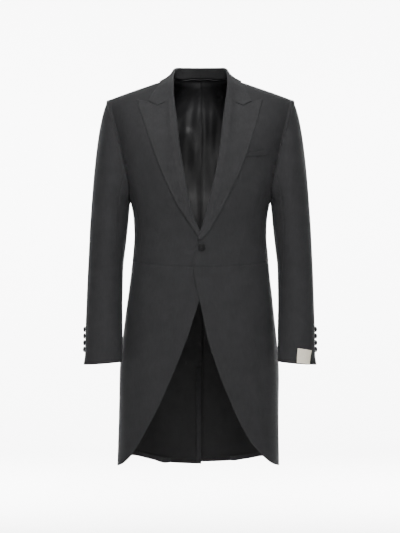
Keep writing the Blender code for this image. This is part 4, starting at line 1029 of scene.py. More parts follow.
@dataclass(frozen=True)
class Cloth:
    """A cloth's thickness, and how far its seams dip and its corners roll."""

    wall: float
    dip: float = 0.0006
    dip_reach: float = 0.0022
    swell: float = 0.00025
    swell_at: float = 0.0040
    corner: float = 0.0012


BODY_CLOTH = Cloth(BODY_WALL)
SLEEVE_CLOTH = Cloth(SLEEVE_WALL)
LAPEL_CLOTH = Cloth(LAPEL_WALL, dip=0.0003, swell=0.00035)
LINING_CLOTH = Cloth(LINING_WALL, dip=0.0008, dip_reach=0.0030, corner=0.0006)


@dataclass
class Sheet:
    """A grid of cloth before it is closed.

    sewn says how much each edge is a seam, from 0 for an edge that is turned and pressed to 1 for a sewn
    one, as one value or one for each point of the edge. dips says where a seam sinks and gaps where it
    stands open, where that differs.
    """

    points: Array
    normals: Array
    flat: Array
    sewn: dict[str, Any]
    heights: Any = 0.0
    dips: dict[str, Any] = field(default_factory=dict)
    gaps: dict[str, Any] = field(default_factory=dict)

    def along_edge(self, name: str, values: dict[str, Any]) -> Array:
        """The value of an edge, spread over the grid.

        Args:
            name: name of the edge.
            values: a value, or one for each of its points, by edge.

        Returns:
            A value for each point of the grid.
        """
        share = np.asarray(values[name], float)
        if share.ndim == 0:
            return np.broadcast_to(share, self.points.shape[:2])
        if name in ("start", "end"):
            return np.broadcast_to(share[:, None], self.points.shape[:2])
        return np.broadcast_to(share[None], self.points.shape[:2])

    def drawn_in(self) -> Array:
        """Points with the sewn edges drawn back by half the gap of a seam.

        Returns:
            The moved points.
        """
        moved = self.points.copy()
        for name, edge, inner in (("bottom", (0,), (1,)), ("top", (-1,), (-2,)),
                                  ("start", (slice(None), 0), (slice(None), 1)),
                                  ("end", (slice(None), -1), (slice(None), -2))):
            share = self.along_edge(name, self.sewn | self.gaps)[edge][..., None]
            moved[edge] += unit(self.points[inner] - self.points[edge]) * share * SEAM_GAP / 2
        return moved

    def build(self, name: str, cloth: Cloth, outside: bpy.types.Material, inside: bpy.types.Material,
              facing: float = 0.0) -> bpy.types.Object:
        """Closes the sheet: an outer and an inner face whose distance shrinks over rolled edges, and a rim.

        Args:
            name: name of the piece.
            cloth: thickness and edges.
            outside: material of the outer face, the rim and the facings.
            inside: material of the inner face.
            facing: width of the facing along turned edges, in metres.

        Returns:
            The piece.
        """
        points = self.drawn_in()
        away = lengths_to_edges(points)
        half = np.full(points.shape[:2], cloth.wall / 2)
        lift = np.zeros(points.shape[:2]) + self.heights
        beyond = np.full(points.shape[:2], np.inf)
        for edge, distance in away.items():
            sewn = self.along_edge(edge, self.sewn)
            sunk = self.along_edge(edge, self.sewn | self.dips)
            turned = 1 - (1 - np.clip(distance / cloth.corner, 0, 1)) ** 2
            rolled = np.sqrt(THINNEST_EDGE + (1 - THINNEST_EDGE) * turned)
            half = np.minimum(half, cloth.wall / 2 * (rolled + (1 - rolled) * sewn))
            lift = lift - cloth.dip * sunk * hill(distance, cloth.dip_reach)
            lift = lift + cloth.swell * (1 - sewn) * hill(distance - cloth.swell_at, cloth.swell_at / 2)
            beyond = np.minimum(beyond, np.where(sewn < 0.5, distance, np.inf))
        middle = points + self.normals * (lift - cloth.wall / 2)[..., None]
        outer = middle + self.normals * half[..., None]
        inner = middle - self.normals * half[..., None]
        return self.close(name, outer, inner, [outside, inside], beyond > facing)

    def close(self, name: str, outer: Array, inner: Array, materials: Sequence[bpy.types.Material],
              lined: Array) -> bpy.types.Object:
        """Joins two grids of the same size by their faces and the strip round the rim.

        Args:
            name: name of the material.
            outer: outer grid.
            inner: inner grid.
            materials: outer and inner material.
            lined: where the inner face shows the lining.

        Returns:
            The closed piece.
        """
        rows, cols = outer.shape[:2]
        count = rows * cols
        index = np.arange(count).reshape(rows, cols)
        face = squares(index)
        rim = np.concatenate([index[:-1, 0], index[-1, :-1], index[:0:-1, -1], index[0, :0:-1]])
        i, j = rows // 2, cols // 2
        turned = np.cross(outer[i, j + 1] - outer[i, j], outer[i + 1, j] - outer[i, j])
        if np.dot(turned, self.normals[i, j]) < 0:
            face, rim = face[:, ::-1], rim[::-1]
        after = np.roll(rim, -1)
        strip = np.stack([rim, after, after + count, rim + count], axis=-1)
        faces = np.concatenate([face, face[:, ::-1] + count, strip])
        slots = np.concatenate([np.zeros(len(face)), lined[:-1, :-1].ravel(), np.zeros(len(strip))])
        vertices = np.concatenate([outer.reshape(-1, 3), inner.reshape(-1, 3)])
        flat = np.tile(self.flat.reshape(-1, 2), (2, 1))
        return put_mesh(name, vertices, faces, materials, flat, slots)


class Signal:
    """A shader value. Arithmetic on it, from either side, adds Math nodes."""

    def __init__(self, board: "Board", socket: Any) -> None:
        self.board = board
        self.socket = socket

    def math(self, operation: str, *others: Any) -> "Signal":
        """A Math node whose first input is this value."""
        return self.board.value("ShaderNodeMath", {"operation": operation}, 0, (self, *others))

    def __add__(self, other: Any) -> "Signal":
        """Sum."""
        return self.math("ADD", other)

    __radd__ = __add__

    def __mul__(self, other: Any) -> "Signal":
        """Product."""
        return self.math("MULTIPLY", other)

    __rmul__ = __mul__

    def __sub__(self, other: Any) -> "Signal":
        """Difference."""
        return self.math("SUBTRACT", other)

    def __rsub__(self, other: Any) -> "Signal":
        """Difference from the other side."""
        return self * -1.0 + other

    def sine(self) -> "Signal":
        """Sine of an angle in radians."""
        return self.math("SINE")

    def between(self, low: float, high: float) -> "Signal":
        """0 under low, 1 over high, and a straight ramp between."""
        inputs = {"Value": self, "From Min": low, "From Max": high}
        return self.board.value("ShaderNodeMapRange", {"clamp": True}, 0, inputs)


class Board:
    """The node tree of one material."""

    def __init__(self, name: str) -> None:
        self.material = bpy.data.materials.new(name)
        self.material.use_nodes = True
        self.nodes = self.material.node_tree.nodes
        self.links = self.material.node_tree.links
        self.shader = self.nodes["Principled BSDF"]

    def node(self, kind: str, settings: dict[str, Any], inputs: Any) -> bpy.types.Node:
        """Adds a node: its settings first, then the values or links of its sockets.

        Args:
            kind: node type.
            settings: properties by name.
            inputs: values or Signals, by socket name or in the order of the sockets.

        Returns:
            The node.
        """
        node = self.nodes.new(kind)
        for key, setting in settings.items():
            setattr(node, key, setting)
        pairs = inputs.items() if isinstance(inputs, dict) else enumerate(inputs)
        for key, given in pairs:
            if isinstance(given, Signal):
                self.links.new(given.socket, node.inputs[key])
            else:
                node.inputs[key].default_value = given
        return node

    def value(self, kind: str, settings: dict[str, Any], output: Any, inputs: Any) -> Signal:
        """Adds a node and gives one of its outputs."""
        return Signal(self, self.node(kind, settings, inputs).outputs[output])

    def flat_axes(self) -> tuple[Signal, Signal]:
        """The two flat coordinates of the cloth, in metres.

        Returns:
            The two coordinates.
        """
        uv = self.value("ShaderNodeTexCoord", {}, "UV", {})
        split = self.node("ShaderNodeSeparateXYZ", {}, {0: uv})
        return Signal(self, split.outputs[0]), Signal(self, split.outputs[1])

    def noise(self, scale: float, detail: float = 2.0,
              stretch: tuple[float, float, float] = (1, 1, 1)) -> Signal:
        """Noise on the object's own coordinates, stretched where an axis counts less.

        Args:
            scale: cells to a metre.
            detail: octaves of finer noise.
            stretch: scale along each axis.

        Returns:
            Noise from 0 to 1.
        """
        place = self.value("ShaderNodeTexCoord", {}, "Object", {})
        inputs = {"Vector": place, "Scale": stretch}
        scaled = self.value("ShaderNodeMapping", {"vector_type": "POINT"}, 0, inputs)
        inputs = {"Vector": scaled, "Scale": scale, "Detail": detail, "Roughness": 0.55}
        return self.value("ShaderNodeTexNoise", {"noise_dimensions": "3D"}, "Fac", inputs)

    def mixed(self, share: Signal, low: tuple[float, ...], high: tuple[float, ...]) -> Signal:
        """Colour between two, by a share."""
        node = self.node("ShaderNodeMix", {"data_type": "RGBA"}, {0: share, 6: (*low, 1), 7: (*high, 1)})
        return Signal(self, node.outputs[2])

    def bumped(self, height: Signal, strength: float, distance: float) -> Signal:
        """Normal bent by a height."""
        inputs = {"Strength": strength, "Distance": distance, "Height": height}
        return self.value("ShaderNodeBump", {}, "Normal", inputs)

    def finish(self, **sockets: Any) -> bpy.types.Material:
        """Sets the shader's sockets, written with _ for a space, and gives the material.

        Args:
            sockets: values or Signals by the socket's name.

        Returns:
            The material.
        """
        for key, given in sockets.items():
            socket = self.shader.inputs[key.replace("_", " ").title().replace("Ior", "IOR")]
            if isinstance(given, Signal):
                self.links.new(given.socket, socket)
            else:
                socket.default_value = given
        return self.material


@dataclass(frozen=True)
class WoolTwill:
    """Charcoal wool twill: diagonal wales of dark and grey yarn, a melange grain and a soft nap."""

    dark: tuple[float, float, float] = (0.0080, 0.0080, 0.0086)
    light: tuple[float, float, float] = (0.0236, 0.0237, 0.0250)
    wale: float = 0.0011
    yarn: float = 0.0006
    sheen: float = 0.03
    rows: tuple[float, ...] = ()
    stitch: float = 0.0026

    def material(self, name: str) -> bpy.types.Material:
        """Wale height is sin(u + v) and yarn height sin(u) sin(v), both over noise.

        A row of stitches is a groove where v is near its own v, with sin(u) for the stitches in it.

        Args:
            name: name of the material.

        Returns:
            The material.
        """
        board = Board(name)
        u, v = board.flat_axes()
        wale = ((u + v) * (2 * math.pi / self.wale)).sine() * 0.5 + 0.5
        yarn = ((u - v * 0.35) * (2 * math.pi / self.yarn)).sine() * 0.5 + 0.5
        grain = board.noise(1900, 3)
        slub = board.noise(300, 2, (1.0, 1.0, 0.22))
        cloud = board.noise(34, 3)
        share = wale * 0.28 + yarn * 0.10 + grain * 0.44 + slub * 0.34 + cloud * 0.32 - 0.30
        height = wale * 0.6 + yarn * 0.25 + grain * 0.9 + slub * 0.5
        for row in self.rows:
            groove = 1.0 - (v - row).math("ABSOLUTE").between(0.0002, 0.0008)
            groove = groove * ((u * (2 * math.pi / self.stitch)).sine() * 0.35 + 0.65)
            share = share - groove * 0.55
            height = height - groove * 3.0
        colour = board.mixed(share.between(0.05, 0.95), self.dark, self.light)
        normal = board.bumped(height, 0.30, 0.00022)
        rough = grain * 0.10 + 0.80
        return board.finish(base_color=colour, roughness=rough, normal=normal, sheen_weight=self.sheen,
                            sheen_roughness=0.42, sheen_tint=(0.80, 0.82, 0.86, 1),
                            specular_ior_level=0.20)


@dataclass(frozen=True)
class Satin:
    """Black satin: long floats with a soft gloss, finely crossed and a little crumpled."""

    dark: tuple[float, float, float] = (0.0028, 0.0028, 0.0030)
    light: tuple[float, float, float] = (0.0068, 0.0068, 0.0072)
    warp: float = 0.00045
    roughness: float = 0.40
    crumple: float = 0.0009
    gloss: float = 0.15

    def material(self, name: str) -> bpy.types.Material:
        """Float height is sin(u) stretched along v; crumple is slow noise.

        Args:
            name: name of the material.

        Returns:
            The material.
        """
        board = Board(name)
        u, v = board.flat_axes()
        floats = ((u + v * 0.06) * (2 * math.pi / self.warp)).sine() * 0.5 + 0.5
        thread = board.noise(1500, 2, (1.0, 1.0, 0.08))
        slow = board.noise(42, 2, (1.0, 1.0, 0.45))
        colour = board.mixed((thread * 0.7 + slow * 0.5 - 0.1).between(0.1, 0.9), self.dark, self.light)
        height = slow * self.crumple + floats * 0.00002 + thread * 0.00004
        normal = board.bumped(height, 1.0, 1.0)
        rough = thread * 0.10 + (self.roughness - 0.05)
        return board.finish(base_color=colour, roughness=rough, normal=normal,
                            specular_ior_level=self.gloss)


@dataclass(frozen=True)
class WovenLabel:
    """Cream taffeta label in a plain weave."""

    dark: tuple[float, float, float] = (0.44, 0.40, 0.32)
    light: tuple[float, float, float] = (0.66, 0.62, 0.52)
    thread: float = 0.0005

    def material(self, name: str) -> bpy.types.Material:
        """Weave height is sin(u) sin(v).

        Args:
            name: name of the material.

        Returns:
            The material.
        """
        board = Board(name)
        u, v = board.flat_axes()
        pitch = 2 * math.pi / self.thread
        weave = (u * pitch).sine() * (v * pitch).sine() * 0.5 + 0.5
        grain = board.noise(700, 2)
        colour = board.mixed((weave * 0.35 + grain * 0.8 - 0.1).between(0.1, 0.9), self.dark, self.light)
        normal = board.bumped(weave * 0.7 + grain * 0.4, 0.4, 0.00015)
        return board.finish(base_color=colour, roughness=0.62 + grain * 0.12, normal=normal,
                            specular_ior_level=0.4)


@dataclass
class Finishes:
    """Every material of the coat."""

    wool: bpy.types.Material
    collar_wool: bpy.types.Material
    stand_wool: bpy.types.Material
    lining: bpy.types.Material
    button: bpy.types.Material
    label: bpy.types.Material

    @classmethod
    def make(cls) -> "Finishes":
        """Makes the materials."""
        return cls(
            wool=WoolTwill().material("wool_twill"),
            # Lighter copy of the wool for the lapels and collar: painted light.
            collar_wool=WoolTwill(light=(0.0310, 0.0311, 0.0324)).material("lapel_twill_painted_light"),
            # Darker copy of the wool for the collar's stand, with its rows of stitches: painted shade.
            stand_wool=WoolTwill(light=(0.0140, 0.0140, 0.0146), rows=STAND_ROWS).material("stand_twill_painted_shade"),
            lining=Satin().material("black_satin"),
            button=Satin(dark=(0.0030, 0.0030, 0.0032), light=(0.0070, 0.0070, 0.0074), roughness=0.45,
                         crumple=0.0).material("covered_button"),
            label=WovenLabel().material("cream_label"),
        )


FRONT, BACK, SIDE = View.FRONT, View.BACK, View.SIDE
BODY_FOLDS = {
    1: (
        *seen_from(FRONT, (
            (0.058, -0.4745, 0.1, -0.47, 0.004, -0.0009, 0.0),
            (0.026, -0.419, 0.125, -0.439, 0.011, 0.001, 0.006),
            (0.03, -0.404, 0.128, -0.368, 0.012, -0.001, -0.006),
            (0.06, -0.41, 0.15, -0.406, 0.009, 0.0007, 0.004),
            (0.166, -0.215, 0.136, -0.335, 0.012, 0.0013, 0.006),
            (0.176, -0.25, 0.15, -0.33, 0.009, -0.0013, 0.004),
            (0.13, -0.22, 0.104, -0.33, 0.016, -0.0008, 0.008),
            (0.112, -0.495, 0.13, -0.83, 0.022, 0.0017, 0.01),
            (0.052, -0.54, 0.092, -0.77, 0.019, -0.0013, -0.006),
            (0.15, -0.53, 0.168, -0.91, 0.019, -0.0019, 0.008),
            (0.03, -0.485, 0.06, -0.55, 0.011, -0.0006, 0.004),
            (0.17, -0.07, 0.198, -0.13, 0.011, -0.0007, 0.004),
        )),
        *seen_from(SIDE, (
            (74, -0.36, 98, -0.43, 0.011, -0.0014, 0.006), (96, -0.34, 118, -0.415, 0.009, 0.0011, -0.004),
            (84, -0.475, 104, -0.54, 0.012, -0.0012, 0.006), (92, -0.54, 98, -0.9, 0.02, 0.002, 0.006),
            (112, -0.61, 116, -0.92, 0.017, -0.0019, -0.004),
        )),
        *seen_from(BACK, (
            (0.15, -0.115, 0.118, -0.305, 0.017, 0.0016, 0.008),
            (0.176, -0.15, 0.15, -0.27, 0.011, -0.0017, 0.006),
            (0.03, -0.035, 0.14, -0.07, 0.015, -0.0008, -0.01),
            (0.02, -0.43, 0.104, -0.398, 0.013, -0.0013, -0.006),
            (0.03, -0.456, 0.12, -0.47, 0.01, 0.0009, 0.004),
            (0.04, -0.53, 0.046, -0.93, 0.019, 0.0021, 0.008),
            (0.098, -0.56, 0.108, -0.94, 0.017, -0.002, -0.006),
            (0.142, -0.64, 0.15, -0.91, 0.016, 0.0014, 0.006),
        )),
    ),
    -1: (
        *seen_from(FRONT, (
            (0.096, -0.477, 0.15, -0.4745, 0.0042, -0.001, 0.0),
            (0.04, -0.416, 0.134, -0.433, 0.012, 0.0011, 0.006),
            (0.036, -0.399, 0.13, -0.36, 0.011, -0.0011, -0.007),
            (0.07, -0.39, 0.152, -0.395, 0.009, 0.0008, 0.004),
            (0.164, -0.22, 0.138, -0.345, 0.013, 0.0014, 0.007),
            (0.178, -0.255, 0.152, -0.338, 0.009, -0.0014, 0.004),
            (0.126, -0.235, 0.098, -0.34, 0.015, -0.0009, 0.008),
            (0.118, -0.5, 0.136, -0.81, 0.021, 0.0018, 0.012),
            (0.06, -0.53, 0.098, -0.76, 0.018, -0.0014, -0.006),
            (0.154, -0.52, 0.174, -0.9, 0.018, -0.002, 0.008),
            (0.048, -0.505, 0.074, -0.565, 0.012, 0.0007, 0.005),
            (0.168, -0.068, 0.196, -0.128, 0.011, -0.0008, 0.004),
        )),
        *seen_from(SIDE, (
            (76, -0.352, 99, -0.424, 0.011, -0.0015, 0.006),
            (95, -0.336, 116, -0.41, 0.009, 0.0012, -0.004),
            (82, -0.48, 106, -0.548, 0.012, -0.0011, 0.006), (90, -0.55, 97, -0.9, 0.02, 0.0019, 0.006),
            (110, -0.6, 115, -0.92, 0.017, -0.0018, -0.004),
        )),
        *seen_from(BACK, (
            (0.152, -0.12, 0.12, -0.3, 0.016, 0.0017, 0.008),
            (0.174, -0.145, 0.15, -0.265, 0.011, -0.0016, 0.006),
            (0.034, -0.038, 0.146, -0.074, 0.015, -0.0009, -0.01),
            (0.016, -0.422, 0.1, -0.39, 0.013, -0.0014, -0.006),
            (0.036, -0.46, 0.124, -0.473, 0.01, 0.0009, 0.004),
            (0.048, -0.55, 0.052, -0.93, 0.019, 0.0019, 0.008),
            (0.102, -0.56, 0.11, -0.94, 0.017, -0.0021, -0.006),
            (0.146, -0.63, 0.152, -0.92, 0.016, 0.0015, 0.006),
        )),
    ),
}
SLEEVE_FOLDS = {
    1: (
        *seen_from(SIDE, (
            (62, -0.15, 96, -0.33, 0.013, 0.0016, 0.006), (110, -0.3, 138, -0.4, 0.011, -0.0015, 0.006),
            (84, -0.41, 150, -0.46, 0.01, -0.0014, 0.008), (72, -0.47, 140, -0.505, 0.009, 0.0011, -0.006),
            (20, -0.38, 44, -0.56, 0.018, 0.0013, 0.008), (60, -0.56, 100, -0.64, 0.011, -0.0009, 0.006),
            (-40, -0.18, -64, -0.4, 0.016, 0.0017, 0.008), (-84, -0.33, -50, -0.47, 0.013, -0.0015, 0.008),
            (-110, -0.42, -60, -0.54, 0.012, 0.0013, -0.006),
            (190, -0.4, 240, -0.48, 0.011, -0.0014, 0.006),
        )),
    ),
    -1: (
        *seen_from(SIDE, (
            (60, -0.14, 92, -0.32, 0.014, 0.0017, 0.006), (112, -0.31, 140, -0.41, 0.011, -0.0014, 0.006),
            (80, -0.425, 148, -0.475, 0.01, -0.0012, 0.008), (76, -0.485, 138, -0.52, 0.009, 0.001, -0.006),
            (24, -0.36, 40, -0.58, 0.017, 0.0014, 0.008), (58, -0.55, 98, -0.65, 0.011, -0.0008, 0.006),
            (-38, -0.17, -66, -0.39, 0.016, 0.0016, 0.008), (-86, -0.34, -52, -0.48, 0.013, -0.0016, 0.008),
            (-108, -0.41, -62, -0.55, 0.012, 0.0012, -0.006),
            (192, -0.41, 238, -0.47, 0.011, -0.0013, 0.006),
        )),
    ),
}
LINING_FOLDS = {
    1: (
        *seen_from(BACK, (
            (0.027, 0.0, 0.023, -0.14, 0.01, 0.0036, 0.002),
            (0.012, -0.02, 0.012, -0.17, 0.006, -0.002, 0.001),
            (0.044, 0.006, 0.056, -0.026, 0.0042, 0.0034, 0.003),
            (0.06, 0.0, 0.048, -0.06, 0.005, 0.003, -0.004),
            (0.048, -0.05, 0.04, -0.19, 0.012, -0.0036, 0.004),
            (0.07, -0.04, 0.064, -0.17, 0.009, 0.0028, 0.006),
            (0.025, -0.15, 0.03, -0.3, 0.011, 0.0022, 0.004),
            (0.05, -0.2, 0.052, -0.34, 0.012, -0.0024, 0.004),
            (0.09, -0.1, 0.086, -0.3, 0.015, 0.0028, 0.006), (0.06, -0.56, 0.07, -0.9, 0.018, 0.002, 0.006),
            (0.115, -0.6, 0.125, -0.9, 0.018, -0.0022, 0.006),
        )),
    ),
    -1: (
        *seen_from(BACK, (
            (0.0085, 0.0, 0.011, -0.13, 0.0075, 0.0042, 0.002),
            (0.024, 0.01, 0.02, -0.07, 0.007, -0.003, 0.003),
            (0.05, 0.016, 0.048, -0.05, 0.012, -0.0046, -0.004),
            (0.033, -0.02, 0.034, -0.12, 0.009, -0.003, 0.003),
            (0.056, -0.096, 0.026, -0.122, 0.007, 0.0012, -0.006),
            (0.018, -0.1, 0.014, -0.23, 0.008, 0.0026, 0.003),
            (0.042, -0.13, 0.042, -0.26, 0.011, -0.0026, 0.004),
            (0.066, -0.04, 0.068, -0.2, 0.012, 0.003, 0.006),
            (0.09, -0.12, 0.088, -0.31, 0.015, -0.0026, 0.006),
            (0.064, -0.56, 0.076, -0.9, 0.018, 0.0021, 0.006),
            (0.118, -0.6, 0.124, -0.9, 0.018, -0.002, 0.006),
        )),
    ),
}
FRONT_FADE, CENTRE_BACK_FADE = (0.020, 0.050), (0.004, 0.024)
UNDER_LAPEL_MARGIN = 0.012


class Cut(NamedTuple):
    """Size of the flat cut of a cloth: its box, and its own area."""
    width: float
    length: float
    area: float


def declare(piece: bpy.types.Object, node: str) -> bpy.types.Object:
    """Rides a piece on the coat in place of its solid, and logs its faces.

    Args:
        piece: the piece.
        node: name of its solid.

    Returns:
        The piece.
    """
    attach(piece, "root")
    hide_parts(node)
    LOG.info("%s: %d faces", piece.name, len(piece.data.polygons))
    return piece


def body_heights(side: int, places: Array, points: Array) -> Array:
    """Folds of the body cloth, faded out where the fronts lap and under the lapels.

    Args:
        side: 1 for the wearer's left, -1 for the right.
        places: grid of places.
        points: points in metres.

    Returns:
        Heights in metres.
    """
    pattern = Pattern(side)
    folds = BODY_FOLDS[side]
    starts = [pattern.spot(f.view, f.x, f.z) for f in folds]
    ends = [pattern.spot(f.view, f.end_x, f.end_z) for f in folds]
    heights = relief(places, starts, ends, folds)
    x, z = points[..., 0] * side, points[..., 2]
    front = points[..., 1] < FORM.middle_y
    outline = [ViewPoint(p.x * side, p.z) for p in LAPEL_EDGE[side]]
    lapel_x = column(outline, "z", "x", z)
    lapel = smooth_step(x, lapel_x, lapel_x + UNDER_LAPEL_MARGIN)
    above_foot = z > LAPEL_FOOT_Z[side] - UNDER_LAPEL_MARGIN
    keep = np.where(front & above_foot, lapel, 1.0)
    keep = keep * np.where(front, smooth_step(x, *FRONT_FADE), 1.0)
    centre = np.where(front, 1.0, smooth_step(np.abs(x), *CENTRE_BACK_FADE))
    return heights * keep * centre


@dataclass(frozen=True)
class BodyPanels:
    """The panels of one half of the body: forepart, side body, back and skirt."""

    side: int
    cell: float = CELL
    front_width: float = 0.20
    skirt_width: float = 0.40
    back_width: float = 0.20
    side_width: float = 0.15
    rim_reach: float = 0.007
    sink: float = 0.0010
    sink_reach: float = 0.0050
    hollow: float = 0.0018
    hollow_reach: float = 0.0150
    facing: float = 0.062
    seam_steps: int = 200
    rough_steps: int = 100
    vent_jog_rows: int = 12

    @property
    def pattern(self) -> Pattern:
        """Seam lines of this half."""
        return Pattern(self.side)

    def sheet(self, places: Array, sewn: dict[str, Any]) -> Sheet:
        """Seats a grid of places on the form with its folds."""
        points, normals = self.pattern.seat(places)
        return Sheet(points, normals, places * (1, -1), sewn, body_heights(self.side, places, points))

    def lean_rim(self, sheet: Sheet, edge: str, first: int, turns: Array) -> Sheet:
        """Leans the normals near the armhole towards the mean of body and sleeve.

        Args:
            sheet: the sheet, which is changed.
            edge: the edge at the armhole.
            first: index of the edge's first point on the armhole.
            turns: turns of the edge's points on the armhole.

        Returns:
            The sheet.
        """
        rim, _, agree = armhole_directions(self.side, turns)
        near = hill(lengths_to_edges(sheet.points)[edge], self.rim_reach)[..., None]
        sheet.dips[edge] = np.concatenate([np.zeros(first), agree])
        if edge == "end":
            part = (slice(first, None),)
            target = rim[:, None]
        else:
            part = (slice(None),)
            target = rim[None]
        mixed = sheet.normals[part] * (1 - near[part]) + target * near[part]
        sheet.normals[part] = unit(mixed)
        away = lengths_to_edges(sheet.points)[edge]
        sunk = self.sink * hill(away, self.sink_reach)
        sunk = sunk + self.hollow * (hill(away, self.hollow_reach) - hill(away, self.sink_reach))
        share = np.concatenate([np.zeros(first), smooth_step(agree, *AGREEMENT)])
        sheet.heights = sheet.heights - sunk * sheet.along_edge(edge, {edge: share})
        return sheet

    def forepart(self) -> Sheet:
        """Waist seam, front edge and roll line, shoulder seam, armhole and side seam.

        Returns:
            The sheet.
        """
        p = self.pattern
        seam = p.side_seam(np.linspace(0, 1, self.seam_steps))
        turns = np.linspace(SIDE_SEAM_TURN, 0, 331)
        whole = np.concatenate([seam, p.armhole(turns)[1:]])
        shares = graded(p.length(whole), self.cell)
        end = p.even(whole, shares)
        neck = list(p.neck(np.linspace(1, NECK_BACK_SHARE + 0.0001, 5)))
        start = smooth_line(p.edge(FRONT_EDGE)[:-1] + neck, run_of(FORM.point(end)))
        across = graded(self.front_width, self.cell)
        bottom = p.waist(start[0], end[0], across)
        start[0], end[0] = bottom[0], bottom[-1]
        xs = (NECK_POINT_X + (SHOULDER_POINT_X - NECK_POINT_X) * across) * self.side
        top = FORM.place(xs, np.full(len(across), ABOVE_RIDGE))
        top[-1] = end[-1]
        sewn = {"bottom": 1, "top": 1, "start": 0, "end": 1}
        sheet = self.sheet(blend_edges(bottom, top, start, end), sewn)
        run = run_of(FORM.point(whole))
        first = int(np.searchsorted(shares, run[len(seam) - 1]))
        at = np.interp(shares[first:], run[len(seam) - 1:], turns)
        return self.lean_rim(sheet, "end", first, at)

    def side_body(self) -> Sheet:
        """Waist seam, side seam, underarm and back seam.

        Returns:
            The sheet.
        """
        p = self.pattern
        shares = graded(p.length(p.side_seam(np.linspace(0, 1, self.rough_steps))), self.cell)
        start, end = p.side_seam(shares), p.back_seam_body(shares)
        turns = np.linspace(SIDE_SEAM_TURN, BACK_SEAM_TURN, 211)
        hole = p.armhole(turns)
        across = graded(self.side_width, self.cell)
        top = p.even(hole, across)
        bottom = p.waist(start[0], end[0], across)
        start[0], end[0] = bottom[0], bottom[-1]
        sewn = {"bottom": 1, "top": 1, "start": 1, "end": 1}
        sheet = self.sheet(blend_edges(bottom, top, start, end), sewn)
        return self.lean_rim(sheet, "top", 0, np.interp(across, run_of(FORM.point(hole)), turns))

    def back(self) -> Sheet:
        """Hem, centre seam and vent, neck and shoulder seams, armhole and back seam.

        Returns:
            The sheet.
        """
        p = self.pattern
        fine = np.linspace(0, 1, self.seam_steps)
        turns = np.linspace(BACK_SEAM_TURN, 359.99, 181)
        lower = np.concatenate([p.back_seam_skirt(fine), p.back_seam_body(fine)[1:]])
        whole = np.concatenate([lower, p.armhole(turns)[1:]])
        run = run_of(FORM.point(whole))
        height = FORM.point(whole)[:, 2]
        knots_z = np.array([VENT_TOP_Z, VENT_TOP_Z + VENT_RUN, WAIST[-1].z])
        knots = np.interp(knots_z, height, run)
        jog = np.linspace(knots[0] - 0.002, knots[1], self.vent_jog_rows)
        shares = np.union1d(graded(p.length(whole), self.cell), jog)
        end = p.even(whole, shares)
        zs = np.interp(shares, [0, *knots, 1], [p.hem_z(180), *knots_z, NECK_BACK_Z])
        lap = VENT_LAP if self.side > 0 else VENT_UNDERLAP
        open_vent = smooth_step(zs, VENT_TOP_Z + VENT_OPENS, VENT_TOP_Z)
        start = p.centre(-self.side * lap * open_vent, zs)
        across = graded(self.back_width, self.cell)
        bottom = p.hem(start[0], end[0], across)
        start[0], end[0] = bottom[0], bottom[-1]
        neck = p.neck(np.linspace(0, NECK_BACK_SHARE, 150))[:-1]
        ridge_xs = np.linspace(NECK_POINT_X, SHOULDER_POINT_X, 150) * self.side
        ridge = FORM.place(ridge_xs, np.full(len(ridge_xs), ABOVE_RIDGE), back=True)
        top = p.even(np.concatenate([neck, ridge]), across)
        top[0], top[-1] = start[-1], end[-1]
        sewn = {"bottom": 0, "top": 1, "start": 1 - open_vent, "end": 1}
        sheet = self.sheet(blend_edges(bottom, top, start, end), sewn)
        first = int(np.searchsorted(shares, run[len(lower) - 1]))
        return self.lean_rim(sheet, "end", first, np.interp(shares[first:], run[len(lower) - 1:], turns))

    def skirt(self) -> Sheet:
        """Waist seam, cutaway front edge, hem round the side, and the seam behind.

        Returns:
            The sheet.
        """
        p = self.pattern
        shares = graded(p.length(p.back_seam_skirt(np.linspace(0, 1, self.rough_steps))), self.cell)
        end = p.back_seam_skirt(shares)
        start = smooth_line(p.edge(CUTAWAY[::-1]), shares)
        corner = p.edge(TAIL_CORNER)
        behind = [FORM.level(a * self.side, p.hem_z(a)) for a in HEM_BEHIND]
        across = graded(self.skirt_width, self.cell)
        bottom = smooth_line([start[0]] + corner + behind + [end[0]], across)
        top = p.waist(start[-1], end[-1], across)
        start[-1], end[-1] = top[0], top[-1]
        sewn = {"bottom": 0, "top": 1, "start": 0, "end": 1}
        return self.sheet(blend_edges(bottom, top, start, end), sewn)

    def dress(self, finishes: Finishes) -> None:
        """Builds the four panels.

        Args:
            finishes: the coat's materials.
        """
        hand = self.pattern.hand
        for name, sheet, cut in (
            ("forepart", self.forepart(), Cut(0.210, 0.545, 0.0825)),
            ("side_body", self.side_body(), Cut(0.235, 0.320, 0.0375)),
            ("back", self.back(), Cut(0.290, 1.065, 0.1215)),
            ("skirt", self.skirt(), Cut(0.485, 0.520, 0.1955)),
        ):
            facing = 0.0 if name == "back" else self.facing
            piece = sheet.build(f"{name}_{hand}_cloth", BODY_CLOTH, finishes.wool, finishes.lining, facing)
            declare(piece, f"{name}_{hand}")


